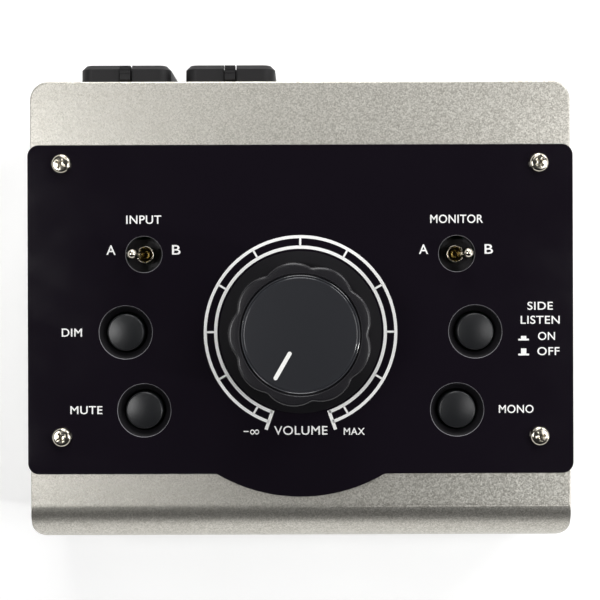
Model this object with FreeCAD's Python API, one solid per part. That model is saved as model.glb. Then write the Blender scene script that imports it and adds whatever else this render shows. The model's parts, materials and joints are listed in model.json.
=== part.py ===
"""Desktop studio monitor controller: a passive box with a large volume knob,
four push buttons, two toggle switches and a row of audio sockets at the back.

Frame: +Z up, +X to the right of someone facing the front, -Y towards them.
The origin is the middle of the footprint, on the surface the feet stand on.
"""
import FreeCAD, Part
import math
import os
from FreeCAD import Vector

UP = Vector(0, 0, 1)
REARWARD = Vector(0, 1, 0)

# ---- Case -------------------------------------------------------------
CASE_WIDTH = 147.6
CASE_DEPTH = 125.7
CASE_HEIGHT = 42.0
CASE_WALL = 2.0
FRONT_CORNER_R = 4.5
REAR_CORNER_R = 5.0
FRONT_ROLL_R = 10.5
EDGE_SOFTENING_R = 0.6
FEET_REACH = 4.0
FOOT_R = 5.5
FOOT_SIDE_INSET = 7.8
FOOT_FRONT_INSET = 16.0
FOOT_REAR_INSET = 14.0
BASE_THICKNESS = 1.2
SHEET_GAP = 0.3

# ---- Control panel ----------------------------------------------------
PANEL_OVERHANG = 0.15
PANEL_THICKNESS = 2.5
PANEL_FRONT_SETBACK = 18.8
PANEL_REAR_SETBACK = 17.65
PANEL_CORNER_R = 3.0
PANEL_BULGE = 6.25
PANEL_SCREW_SIDE_INSET = 9.25
PANEL_SCREW_REAR_INSET = 5.1
PANEL_SCREW_FRONT_INSET = 10.1
PANEL_NUT_HOLE_R = 10.0

# ---- Screws: thread radius, head radius and height --------------------
SCREW_R = 1.45
SCREW_HEAD_R = 2.65
SCREW_HEAD_HEIGHT = 1.6
SCREW_CROWN_R = 1.0
SCREW_RECESS_WIDTH = 0.8
SCREW_RECESS_SPAN = 2.6
SCREW_RECESS_DEPTH = 0.9
THREAD_GAP = 0.05
SCREW_HOLE_R = 1.7
PANEL_SCREW_GRIP = 6.0
BASE_SCREW_GRIP = 8.0
BOARD_SCREW_GRIP = 6.0
REAR_SCREW_GRIP = 3.0
SCREW_BOSS_WALL = 1.9
FOOT_PAD = 1.6
FOOT_HEAD_GAP = 0.4

# ---- Ring of controls around the knob ---------------------------------
KNOB_FORWARD_OFFSET = 6.175
CONTROL_SIDE_INSET = 26.4
CONTROL_SPREAD_ANGLE = 26.5

# ---- Volume knob ------------------------------------------------------
KNOB_HEIGHT = 19.4
KNOB_FLOAT = 0.6
KNOB_LOBES = 9
KNOB_LOBE_TIP_R = 18.6
KNOB_LOBE_R = 8.5
KNOB_VALLEY_R = 2.0
KNOB_FOOT_GROWTH = 0.35
KNOB_BEVEL = 0.7
KNOB_SKIRT_REACH = 3.3
KNOB_SKIRT_EDGE = 1.2
KNOB_SKIRT_SLOPE = 1.0
KNOB_WALL = 2.2
KNOB_ROOF = 1.6
KNOB_HUB_R = 5.6
KNOB_HUB_RAISE = 0.4
KNOB_SHAFT_GRIP = 11.5
KNOB_RIM_WIDTH = 3.3
KNOB_CAP_THICKNESS = 1.2
KNOB_CAP_GROOVE = 0.3
KNOB_CAP_BEVEL = 0.3
POINTER_START_R = 5.1
POINTER_RIM_GAP = 1.95
POINTER_WIDTH = 1.05
POINTER_DEPTH = 0.4
POINTER_ANGLE = 240.0
POINTER_GAP = 0.01

# ---- Volume potentiometer ---------------------------------------------
POT_BODY_SIDE = 25.0
POT_PLATE_THICKNESS = 1.8
POT_BUSHING_R = 4.5
POT_BUSHING_LENGTH = 8.0
POT_SHAFT_R = 3.0
POT_SHAFT_FLAT = 1.4
POT_SHAFT_GAP = 0.05
POT_HOLE_GAP = 0.2
POT_GANG_SIDE = 23.0
POT_GANG_FLOOR = 1.2
POT_WIPER_R = 8.5
POT_WIPER_THICKNESS = 1.4
POT_CAVITY_GAP = 0.8
POT_WASHER_R = 7.2
POT_WASHER_THICKNESS = 0.6
POT_NUT_FLATS = 12.0
POT_NUT_THICKNESS = 2.4

# ---- Control board ----------------------------------------------------
BOARD_DROP = 17.0
BOARD_THICKNESS = 1.6
BOARD_SIDE_SETBACK = 15.8
BOARD_FRONT_SETBACK = 21.25
BOARD_REAR_GAP = 6.65
BOARD_EDGE_INSET = 4.0
BOARD_HOLE_GAP = 0.15

# ---- Push buttons and their switches ----------------------------------
CAP_R = 5.05
CAP_HEIGHT = 8.0
CAP_CROWN = 0.9
CAP_RISE = 0.3
CAP_SOCKET_DEPTH = 4.0
CAP_TRAVEL = 2.5
CAP_RECESS_GAP = 0.55
RECESS_FLARE = 1.6
COVER_HOLE_MARGIN = 0.5
SWITCH_SIDE = 8.5
SWITCH_WALL = 1.1
STEM_SIDE = 3.0
STEM_GAP = 0.1
COLLAR_SIDE = 5.0
COLLAR_THICKNESS = 1.4
SPRING_COIL_R = 1.7
SPRING_WIRE_R = 0.16
SPRING_TURNS = 5
SPRING_CLOSED_LENGTH = 2.2
PIN_WIDTH = 0.8
PIN_THICKNESS = 0.4
PIN_LENGTH = 3.2
SWITCH_PIN_PITCH = 2.5
SWITCH_PIN_ROW = 5.0

# ---- Toggle switches --------------------------------------------------
TOGGLE_HOLE_R = 4.9
TOGGLE_WIDTH = 11.4
TOGGLE_DEPTH = 9.0
TOGGLE_HEIGHT = 9.0
TOGGLE_PLATE_THICKNESS = 0.6
TOGGLE_BUSHING_R = 2.4
TOGGLE_BUSHING_DROP = 3.0
TOGGLE_PIVOT_DROP = 3.6
TOGGLE_BALL_R = 1.3
TOGGLE_BALL_GAP = 0.05
TOGGLE_SWING_GAP = 0.15
TOGGLE_LEVER_LENGTH = 12.9
TOGGLE_LEVER_ROOT_R = 0.7
TOGGLE_LEVER_TIP_R = 1.4
TOGGLE_TAIL_LENGTH = 7.8
TOGGLE_TAIL_R = 0.45
TOGGLE_LEAN_ANGLE = 13.0
TOGGLE_WELL_WIDTH = 7.0
TOGGLE_WELL_DEPTH = 3.0
TOGGLE_WELL_HEIGHT = 4.4
TOGGLE_PIN_PITCH = 2.54
TOGGLE_PIN_ROW = 5.08

# ---- Rear panel and its sockets ---------------------------------------
REAR_PANEL_THICKNESS = 1.2
WINDOW_SIDE_BORDER = 11.3
WINDOW_TOP_GAP = 1.0
WINDOW_BOTTOM_BORDER = 5.0
REAR_SCREW_SIDE_INSET = 8.2
REAR_SCREW_END_INSET = 14.0
SOCKET_DEPTH = 26.0
SOCKET_BACK_WALL = 1.0
SOCKET_HOLE_GAP = 0.2
JACK_BORE_R = 3.25

# ---- Combined XLR and jack sockets ------------------------------------
COMBO_REACH = 5.4
COMBO_TOP_GAP = 0.5
COMBO_END_GAP = 0.95
COMBO_GAP = 2.5
COMBO_FACE_WIDTH = 24.9
COMBO_FACE_HEIGHT = 26.0
COMBO_FACE_CORNER_R = 3.5
COMBO_FACE_CHAMFER = 1.2
COMBO_FLANGE_SIDE = 0.8
COMBO_FLANGE_END = 2.5
COMBO_FLANGE_THICKNESS = 2.4
COMBO_BODY_WIDTH = 24.0
COMBO_BODY_HEIGHT = 26.0
COMBO_SHELL_R = 9.7
COMBO_INSERT_R = 7.8
COMBO_SHELL_DEPTH = 14.0
CONTACT_CIRCLE_R = 5.6
CONTACT_HOLE_R = 1.5
CONTACT_R = 1.2
CONTACT_BORE_R = 0.8
CONTACT_RECESS = 1.0
CONTACT_LENGTH = 9.0
CONTACT_TAIL_R = 0.5
CONTACT_GAP = 0.05
CONTACT_ANGLES = (0.0, 180.0, 270.0)
TAIL_REACH = 1.4
LATCH_WIDTH = 2.9
LATCH_GAP = 0.3
LATCH_PROUD = 1.2
LATCH_DEPTH = 2.4
LATCH_LENGTH = 4.6
LATCH_TRAVEL = 0.9

# ---- Plain jack sockets -----------------------------------------------
JACK_PAIRS = ("input_b", "monitor_a", "monitor_b")
JACK_ROW_PITCH = 15.0
JACK_REACH = 2.8
JACK_BUSHING_R = 4.5
JACK_BODY_WIDTH = 15.0
JACK_BODY_HEIGHT = 12.0
JACK_NUT_FLATS = 11.0
JACK_NUT_THICKNESS = 2.2
JACK_TAIL_SPREAD = 5.0

# ---- Connector board, ribbon cable and resistors ----------------------
CONNECTOR_BOARD_TOP_GAP = 2.0
CONNECTOR_BOARD_BOTTOM_GAP = 1.5
CONNECTOR_BOARD_OVERHANG = 1.5
RIBBON_WIDTH = 20.0
RIBBON_THICKNESS = 0.9
RIBBON_LEAD = 1.0
RIBBON_SETBACK = 14.0
RIBBON_BASE_GAP = 3.2
PLUG_WIDTH = 25.0
PLUG_THICKNESS = 5.0
PLUG_HEIGHT = 8.5
RESISTOR_COUNT = 12
RESISTOR_PITCH = 4.2
RESISTOR_R = 1.15
RESISTOR_LENGTH = 6.3
RESISTOR_LEAD_R = 0.28
RESISTOR_LEAD_SPAN = 10.2
RESISTOR_LEAD_TAIL = 1.2
RESISTOR_FRONT_INSET = 8.0

# ---- Places worked out from the values above --------------------------
FRONT_Y = -(CASE_DEPTH + COMBO_REACH) / 2
REAR_Y = FRONT_Y + CASE_DEPTH
HALF_WIDTH = CASE_WIDTH / 2
CASE_BOTTOM = FEET_REACH
CASE_TOP = CASE_BOTTOM + CASE_HEIGHT
COVER_INSIDE_TOP = CASE_TOP - CASE_WALL
BASE_TOP = CASE_BOTTOM + BASE_THICKNESS
PANEL_TOP = CASE_TOP + PANEL_THICKNESS
PANEL_FRONT_Y = FRONT_Y + PANEL_FRONT_SETBACK
PANEL_REAR_Y = REAR_Y - PANEL_REAR_SETBACK
PANEL_HALF_WIDTH = HALF_WIDTH + PANEL_OVERHANG
KNOB_Y = (PANEL_FRONT_Y + PANEL_REAR_Y) / 2 - KNOB_FORWARD_OFFSET
BULGE_R = KNOB_Y - PANEL_FRONT_Y + PANEL_BULGE
CONTROL_RING_R = HALF_WIDTH - CONTROL_SIDE_INSET
RECESS_FLOOR_R = CAP_R + CAP_RECESS_GAP
RECESS_TOP_R = RECESS_FLOOR_R + RECESS_FLARE
KNOB_SKIRT_R = KNOB_LOBE_TIP_R + KNOB_SKIRT_REACH
KNOB_CAP_R = KNOB_LOBE_TIP_R - KNOB_RIM_WIDTH
POINTER_END_R = KNOB_CAP_R - POINTER_RIM_GAP
COMBO_FLANGE_WIDTH = COMBO_FACE_WIDTH + 2 * COMBO_FLANGE_SIDE
COMBO_FLANGE_HEIGHT = COMBO_FACE_HEIGHT + 2 * COMBO_FLANGE_END
SOCKET_Z = COVER_INSIDE_TOP - COMBO_TOP_GAP - COMBO_FLANGE_HEIGHT / 2
REAR_WALL_INSIDE_Y = REAR_Y - CASE_WALL
REAR_PANEL_INSIDE_Y = REAR_WALL_INSIDE_Y - REAR_PANEL_THICKNESS
SOCKET_BACK_Y = REAR_PANEL_INSIDE_Y - SOCKET_DEPTH
CONNECTOR_BOARD_BACK_Y = SOCKET_BACK_Y - BOARD_THICKNESS
BOARD_TOP = COVER_INSIDE_TOP - BOARD_DROP
BOARD_BOTTOM = BOARD_TOP - BOARD_THICKNESS
BOARD_HALF_WIDTH = HALF_WIDTH - BOARD_SIDE_SETBACK
BOARD_FRONT_Y = FRONT_Y + BOARD_FRONT_SETBACK
BOARD_REAR_Y = CONNECTOR_BOARD_BACK_Y - BOARD_REAR_GAP
WINDOW_X = HALF_WIDTH - WINDOW_SIDE_BORDER
COMBO_PITCH = COMBO_FLANGE_WIDTH + COMBO_GAP
COMBO_ROW_START = -WINDOW_X + COMBO_END_GAP
COMBO_X = [COMBO_ROW_START + COMBO_FLANGE_WIDTH / 2 + column * COMBO_PITCH for column in (0, 1)]
JACK_ROW_START = COMBO_X[-1] + COMBO_FLANGE_WIDTH / 2
JACK_PITCH = (WINDOW_X - JACK_ROW_START) / len(JACK_PAIRS)
JACK_X = [JACK_ROW_START + (column + 1 / 2) * JACK_PITCH for column in range(len(JACK_PAIRS))]
JACK_Z = (SOCKET_Z + JACK_ROW_PITCH / 2, SOCKET_Z - JACK_ROW_PITCH / 2)
KNOB_BOTTOM = PANEL_TOP + KNOB_FLOAT
KNOB_TOP = KNOB_BOTTOM + KNOB_HEIGHT
KNOB_HUB_BOTTOM = COVER_INSIDE_TOP + POT_BUSHING_LENGTH + KNOB_HUB_RAISE
POT_SHAFT_TOP = KNOB_HUB_BOTTOM + KNOB_SHAFT_GRIP


# ---- Shape helpers ----------------------------------------------------
def box(x_low, x_high, y_low, y_high, z_low, z_high):
    corner = Vector(x_low, y_low, z_low)
    return Part.makeBox(x_high - x_low, y_high - y_low, z_high - z_low, corner)


def block(x, y, z_low, width, depth, height):
    """Box centred on x and y, standing on z_low."""
    return box(x - width / 2, x + width / 2, y - depth / 2, y + depth / 2, z_low, z_low + height)


def pillar(x, y, z_low, z_high, radius):
    return Part.makeCylinder(radius, z_high - z_low, Vector(x, y, z_low), UP)


def rod(x, z, y_low, y_high, radius):
    """Round bar along Y."""
    return Part.makeCylinder(radius, y_high - y_low, Vector(x, y_low, z), REARWARD)


def cone(x, y, z_low, z_high, low_radius, high_radius):
    return Part.makeCone(low_radius, high_radius, z_high - z_low, Vector(x, y, z_low), UP)


def hexagon(flats, thickness):
    """Six-sided nut blank on the Z axis, with two flats facing +Y and -Y."""
    corner_r = flats / math.sqrt(3)
    points = []
    for corner in range(7):
        angle = math.radians(60 * corner)
        points.append(Vector(corner_r * math.cos(angle), corner_r * math.sin(angle), 0))
    return Part.Face(Part.makePolygon(points)).extrude(UP * thickness)


def on_circle(radius, degrees):
    angle = math.radians(degrees)
    return radius * math.cos(angle), radius * math.sin(angle)


def mirrored(x, y):
    """The same place on the left and on the right."""
    return [(-x, y), (x, y)]


def stand_along_y(shape, x, y, z):
    """Turn a shape made along +Z so that it points along +Y, and put it in place."""
    turned = shape.copy()
    turned.rotate(Vector(0, 0, 0), Vector(1, 0, 0), -90)
    turned.translate(Vector(x, y, z))
    return turned


def screw_along_z(grip):
    """Cross-recess pan head on the Z axis, its seat at z = 0 and its thread below."""
    head = Part.makeCylinder(SCREW_HEAD_R, SCREW_HEAD_HEIGHT)
    crown = [edge for edge in head.Edges if edge.CenterOfMass.z > SCREW_HEAD_HEIGHT / 2]
    crown = [edge for edge in crown if edge.isClosed()]
    head = head.makeFillet(SCREW_CROWN_R, crown)
    floor = SCREW_HEAD_HEIGHT - SCREW_RECESS_DEPTH
    slot = block(0, 0, floor, SCREW_RECESS_SPAN, SCREW_RECESS_WIDTH, SCREW_HEAD_HEIGHT)
    cross = slot.fuse(block(0, 0, floor, SCREW_RECESS_WIDTH, SCREW_RECESS_SPAN, SCREW_HEAD_HEIGHT))
    thread = Part.makeCylinder(SCREW_R, grip, Vector(0, 0, -grip), UP)
    return head.fuse(thread).cut(cross)


def save(name, shapes):
    """Write one node: a single solid, or a group of separate solids."""
    solids = shapes if isinstance(shapes, list) else [shapes]
    shape = solids[0] if len(solids) == 1 else Part.makeCompound(solids)
    shape.exportStep("parts/" + name + ".step")


# ---- Where things repeat ----------------------------------------------
def panel_screw_places():
    side = PANEL_HALF_WIDTH - PANEL_SCREW_SIDE_INSET
    front = mirrored(side, PANEL_FRONT_Y + PANEL_SCREW_FRONT_INSET)
    return front + mirrored(side, PANEL_REAR_Y - PANEL_SCREW_REAR_INSET)


def foot_places():
    side = HALF_WIDTH - FOOT_SIDE_INSET
    return mirrored(side, FRONT_Y + FOOT_FRONT_INSET) + mirrored(side, REAR_Y - FOOT_REAR_INSET)


def board_screw_places():
    side = BOARD_HALF_WIDTH - BOARD_EDGE_INSET
    front = mirrored(side, BOARD_FRONT_Y + BOARD_EDGE_INSET)
    return front + mirrored(side, BOARD_REAR_Y - BOARD_EDGE_INSET)


def rear_screw_places():
    side = HALF_WIDTH - REAR_SCREW_SIDE_INSET
    heights = (CASE_BOTTOM + REAR_SCREW_END_INSET, CASE_TOP - REAR_SCREW_END_INSET)
    return [(x, z) for x in (-side, side) for z in heights]


def control_place(degrees):
    """Point on the control ring; the angle is counted from +X."""
    x, y = on_circle(CONTROL_RING_R, degrees)
    return x, KNOB_Y + y


BUTTONS = {
    "dim": control_place(180),
    "mute": control_place(180 + CONTROL_SPREAD_ANGLE),
    "mono": control_place(-CONTROL_SPREAD_ANGLE),
    "side_listen": control_place(0),
}
TOGGLES = {
    "input_toggle": (control_place(180 - CONTROL_SPREAD_ANGLE), -TOGGLE_LEAN_ANGLE),
    "monitor_toggle": (control_place(CONTROL_SPREAD_ANGLE), TOGGLE_LEAN_ANGLE),
}
COMBOS = dict(zip(("input_a_left_socket", "input_a_right_socket"), COMBO_X))
JACKS = {}
for column, jack_pair in zip(JACK_X, JACK_PAIRS):
    for row, side_name in zip(JACK_Z, ("left", "right")):
        JACKS[jack_pair + "_" + side_name + "_jack"] = (column, row)


def switch_pin_places():
    places = []
    for x, y in BUTTONS.values():
        for step in (-1, 0, 1):
            for row in (-SWITCH_PIN_ROW / 2, SWITCH_PIN_ROW / 2):
                places.append((x + row, y + step * SWITCH_PIN_PITCH))
    for (x, y), lean in TOGGLES.values():
        for step in (-1, 0, 1):
            for row in (-TOGGLE_PIN_ROW / 2, TOGGLE_PIN_ROW / 2):
                places.append((x + step * TOGGLE_PIN_PITCH, y + row))
    return places


def resistor_places():
    first = -(RESISTOR_COUNT - 1) / 2 * RESISTOR_PITCH
    y = BOARD_FRONT_Y + RESISTOR_FRONT_INSET
    return [(first + index * RESISTOR_PITCH, y) for index in range(RESISTOR_COUNT)]


def contact_places():
    return [on_circle(CONTACT_CIRCLE_R, angle) for angle in CONTACT_ANGLES]


def socket_tail_places():
    """Every pin that comes through the connector board, as x and z."""
    places = []
    for x in COMBOS.values():
        places += [(x + dx, SOCKET_Z + dz) for dx, dz in contact_places()]
    for x, z in JACKS.values():
        places += [(x + dx, z) for dx in (-JACK_TAIL_SPREAD, 0, JACK_TAIL_SPREAD)]
    return places


# ---- Top cover: one painted metal shell, open at the bottom -----------
def uprights_at(shape, y):
    """The vertical edges that stand at one distance from front to back."""
    edges = [edge for edge in shape.Edges if abs(edge.tangentAt(0).z) > 0.5]
    return [edge for edge in edges if abs(edge.CenterOfMass.y - y) < SHEET_GAP]


def edges_at_height(shape, z):
    """The level edges that lie at one height."""
    levels = [(edge, edge.BoundBox.ZMin, edge.BoundBox.ZMax) for edge in shape.Edges]
    return [edge for edge, low, high in levels if abs(low - z) + abs(high - z) < SHEET_GAP]


def plan_form(inset, bottom):
    """The case seen from above, as an upright block with round corners."""
    x = HALF_WIDTH - inset
    front = FRONT_Y + inset
    rear = REAR_Y - inset
    form = box(-x, x, front, rear, bottom, CASE_TOP - inset)
    form = form.makeFillet(FRONT_CORNER_R - inset, uprights_at(form, front))
    return form.makeFillet(REAR_CORNER_R - inset, uprights_at(form, rear))


def side_form(inset, bottom):
    """The case seen from the side, as a block across it with a rolled brow at the front."""
    x = HALF_WIDTH - inset
    front = FRONT_Y + inset
    top = CASE_TOP - inset
    form = box(-x, x, front, REAR_Y - inset, bottom, top)
    brow = [edge for edge in edges_at_height(form, top) if abs(edge.CenterOfMass.y - front) < SHEET_GAP]
    return form.makeFillet(FRONT_ROLL_R - inset, brow)


def top_cover():
    outline = plan_form(0, CASE_BOTTOM)
    outline = outline.makeFillet(EDGE_SOFTENING_R, edges_at_height(outline, CASE_TOP))
    cavity_bottom = CASE_BOTTOM - CASE_WALL
    cavity = plan_form(CASE_WALL, cavity_bottom).common(side_form(CASE_WALL, cavity_bottom))
    cover = outline.common(side_form(0, CASE_BOTTOM)).cut(cavity)
    boss_r = SCREW_R + THREAD_GAP + SCREW_BOSS_WALL
    pilot_r = SCREW_R + THREAD_GAP
    for x, y in foot_places():
        cover = cover.fuse(pillar(x, y, BASE_TOP, COVER_INSIDE_TOP, boss_r))
    for x, y in board_screw_places():
        cover = cover.fuse(pillar(x, y, BOARD_TOP, COVER_INSIDE_TOP, boss_r))
    for x, y in panel_screw_places():
        cover = cover.fuse(pillar(x, y, CASE_TOP - PANEL_SCREW_GRIP, COVER_INSIDE_TOP, boss_r))
    holes = [pillar(0, KNOB_Y, COVER_INSIDE_TOP, CASE_TOP, POT_BUSHING_R + POT_HOLE_GAP)]
    for x, y in foot_places():
        holes.append(pillar(x, y, BASE_TOP, BASE_TOP + BASE_SCREW_GRIP, pilot_r))
    for x, y in board_screw_places():
        holes.append(pillar(x, y, BOARD_TOP, BOARD_TOP + BOARD_SCREW_GRIP, pilot_r))
    for x, y in panel_screw_places():
        holes.append(pillar(x, y, CASE_TOP - PANEL_SCREW_GRIP, CASE_TOP, pilot_r))
    for x, y in BUTTONS.values():
        holes.append(pillar(x, y, COVER_INSIDE_TOP, CASE_TOP, RECESS_FLOOR_R + COVER_HOLE_MARGIN))
    for (x, y), lean in TOGGLES.values():
        holes.append(pillar(x, y, COVER_INSIDE_TOP, CASE_TOP, TOGGLE_HOLE_R + COVER_HOLE_MARGIN))
    window_low = CASE_BOTTOM + WINDOW_BOTTOM_BORDER
    window_high = SOCKET_Z + COMBO_FACE_HEIGHT / 2 + WINDOW_TOP_GAP
    holes.append(box(-WINDOW_X, WINDOW_X, REAR_WALL_INSIDE_Y, REAR_Y, window_low, window_high))
    for x, z in rear_screw_places():
        holes.append(rod(x, z, REAR_WALL_INSIDE_Y, REAR_Y, SCREW_HOLE_R))
    return cover.cut(holes)


# ---- Base plate, feet and the screws that hold them -------------------
def base_plate():
    gap = CASE_WALL + SHEET_GAP
    x = HALF_WIDTH - gap
    front = FRONT_Y + gap
    rear = REAR_Y - gap
    plate = box(-x, x, front, rear, CASE_BOTTOM, BASE_TOP)
    corners = uprights_at(plate, front) + uprights_at(plate, rear)
    plate = plate.makeFillet(REAR_CORNER_R - CASE_WALL, corners)
    return plate.cut([pillar(x, y, CASE_BOTTOM, BASE_TOP, SCREW_HOLE_R) for x, y in foot_places()])


def rubber_feet():
    feet = []
    for x, y in foot_places():
        foot = cone(x, y, 0, FEET_REACH, FOOT_R - SHEET_GAP, FOOT_R)
        head_pocket = pillar(x, y, 0, FEET_REACH - FOOT_PAD, SCREW_HEAD_R + FOOT_HEAD_GAP)
        feet.append(foot.cut([head_pocket, pillar(x, y, 0, FEET_REACH, SCREW_HOLE_R)]))
    return feet


def foot_screws():
    """Long screws from below: through foot and base plate into the cover's corner bosses."""
    screws = []
    for x, y in foot_places():
        screw = screw_along_z(BASE_SCREW_GRIP + BASE_THICKNESS + FOOT_PAD - SHEET_GAP)
        screw.rotate(Vector(0, 0, 0), Vector(1, 0, 0), 180)
        screw.translate(Vector(x, y, FEET_REACH - FOOT_PAD))
        screws.append(screw)
    return screws


# ---- Control panel ----------------------------------------------------
def control_panel():
    half = PANEL_HALF_WIDTH
    panel = box(-half, half, PANEL_FRONT_Y, PANEL_REAR_Y, CASE_TOP, PANEL_TOP)
    corners = uprights_at(panel, PANEL_FRONT_Y) + uprights_at(panel, PANEL_REAR_Y)
    panel = panel.makeFillet(PANEL_CORNER_R, corners)
    bulge = pillar(0, KNOB_Y, CASE_TOP, PANEL_TOP, BULGE_R)
    panel = panel.fuse(bulge).removeSplitter()
    bulge_ends = [edge for edge in uprights_at(panel, PANEL_FRONT_Y)
                  if abs(edge.CenterOfMass.x) < BULGE_R]
    panel = panel.makeFillet(PANEL_CORNER_R, bulge_ends)
    holes = [pillar(0, KNOB_Y, CASE_TOP, PANEL_TOP, PANEL_NUT_HOLE_R)]
    for x, y in panel_screw_places():
        holes.append(pillar(x, y, CASE_TOP, PANEL_TOP, SCREW_HOLE_R))
    for x, y in BUTTONS.values():
        holes.append(cone(x, y, CASE_TOP, PANEL_TOP, RECESS_FLOOR_R, RECESS_TOP_R))
    for (x, y), lean in TOGGLES.values():
        holes.append(pillar(x, y, CASE_TOP, PANEL_TOP, TOGGLE_HOLE_R))
    return panel.cut(holes)


def panel_screws():
    screws = []
    for x, y in panel_screw_places():
        screw = screw_along_z(PANEL_SCREW_GRIP + PANEL_THICKNESS - SHEET_GAP)
        screw.translate(Vector(x, y, PANEL_TOP))
        screws.append(screw)
    return screws


# ---- Control board with its screws and resistors ----------------------
def control_board():
    half = BOARD_HALF_WIDTH
    board = box(-half, half, BOARD_FRONT_Y, BOARD_REAR_Y, BOARD_BOTTOM, BOARD_TOP)
    holes = [pillar(x, y, BOARD_BOTTOM, BOARD_TOP, SCREW_HOLE_R) for x, y in board_screw_places()]
    gap = BOARD_HOLE_GAP
    slot_width = PIN_WIDTH + 2 * gap
    slot_depth = PIN_THICKNESS + 2 * gap
    for x, y in switch_pin_places():
        holes.append(block(x, y, BOARD_BOTTOM, slot_width, slot_depth, BOARD_THICKNESS))
    for x, y in resistor_places():
        for end in (-RESISTOR_LEAD_SPAN / 2, RESISTOR_LEAD_SPAN / 2):
            holes.append(pillar(x, y + end, BOARD_BOTTOM, BOARD_TOP, RESISTOR_LEAD_R + gap))
    return board.cut(holes)


def board_screws():
    screws = []
    for x, y in board_screw_places():
        screw = screw_along_z(BOARD_SCREW_GRIP + BOARD_THICKNESS - SHEET_GAP)
        screw.rotate(Vector(0, 0, 0), Vector(1, 0, 0), 180)
        screw.translate(Vector(x, y, BOARD_BOTTOM))
        screws.append(screw)
    return screws


def pad_resistors():
    """Row of axial resistors that makes the dim and mono levels, leads bent into the board."""
    resistors = []
    body_z = BOARD_TOP + RESISTOR_R
    for x, y in resistor_places():
        body = rod(x, body_z, y - RESISTOR_LENGTH / 2, y + RESISTOR_LENGTH / 2, RESISTOR_R)
        reach = RESISTOR_LEAD_SPAN / 2
        lead = rod(x, body_z, y - reach, y + reach, RESISTOR_LEAD_R)
        tails = [pillar(x, y + end, BOARD_BOTTOM - RESISTOR_LEAD_TAIL, body_z, RESISTOR_LEAD_R)
                 for end in (-reach, reach)]
        knees = [Part.makeSphere(RESISTOR_LEAD_R, Vector(x, y + end, body_z)) for end in (-reach, reach)]
        resistors.append(body.fuse([lead] + tails + knees))
    return resistors


# ---- Volume potentiometer: plate with bushing, two gangs, shaft -------
def pot_bushing():
    plate = block(0, KNOB_Y, COVER_INSIDE_TOP - POT_PLATE_THICKNESS, POT_BODY_SIDE, POT_BODY_SIDE,
                  POT_PLATE_THICKNESS)
    neck = pillar(0, KNOB_Y, COVER_INSIDE_TOP, COVER_INSIDE_TOP + POT_BUSHING_LENGTH, POT_BUSHING_R)
    bore = pillar(0, KNOB_Y, COVER_INSIDE_TOP - POT_PLATE_THICKNESS,
                  COVER_INSIDE_TOP + POT_BUSHING_LENGTH, POT_SHAFT_R + POT_SHAFT_GAP)
    return plate.fuse(neck).cut(bore)


def pot_gang_levels():
    """Bottom and top of each of the two gangs between the board and the front plate."""
    top = COVER_INSIDE_TOP - POT_PLATE_THICKNESS
    middle = (top + BOARD_TOP) / 2
    return [(middle, top), (BOARD_TOP, middle)]


def pot_gangs():
    gangs = []
    for low, high in pot_gang_levels():
        gang = block(0, KNOB_Y, low, POT_GANG_SIDE, POT_GANG_SIDE, high - low)
        track_space = pillar(0, KNOB_Y, low + POT_GANG_FLOOR, high, POT_WIPER_R + POT_CAVITY_GAP)
        gangs.append(gang.cut([track_space, pillar(0, KNOB_Y, low, high, POT_SHAFT_R + POT_SHAFT_GAP)]))
    return gangs


def shaft_form(extra, low, high):
    """Round shaft whose upper end has a flat on its rear side."""
    shaft = pillar(0, KNOB_Y, low, high, POT_SHAFT_R + extra)
    flat_y = KNOB_Y + POT_SHAFT_R - POT_SHAFT_FLAT + extra
    side = POT_SHAFT_R + extra
    return shaft.cut(box(-side, side, flat_y, KNOB_Y + side + extra, KNOB_HUB_BOTTOM, high))


def pot_shaft():
    shaft = shaft_form(0, BOARD_TOP + SHEET_GAP, POT_SHAFT_TOP)
    for low, high in pot_gang_levels():
        middle = (low + POT_GANG_FLOOR + high) / 2
        wiper_low = middle - POT_WIPER_THICKNESS / 2
        shaft = shaft.fuse(pillar(0, KNOB_Y, wiper_low, wiper_low + POT_WIPER_THICKNESS, POT_WIPER_R))
    return shaft


def pot_washer():
    high = CASE_TOP + POT_WASHER_THICKNESS
    ring = pillar(0, KNOB_Y, CASE_TOP, high, POT_WASHER_R)
    return ring.cut(pillar(0, KNOB_Y, CASE_TOP, high, POT_BUSHING_R + THREAD_GAP))


def pot_nut():
    low = CASE_TOP + POT_WASHER_THICKNESS
    nut = hexagon(POT_NUT_FLATS, POT_NUT_THICKNESS)
    nut.translate(Vector(0, KNOB_Y, low))
    return nut.cut(pillar(0, KNOB_Y, low, low + POT_NUT_THICKNESS, POT_BUSHING_R + THREAD_GAP))


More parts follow.
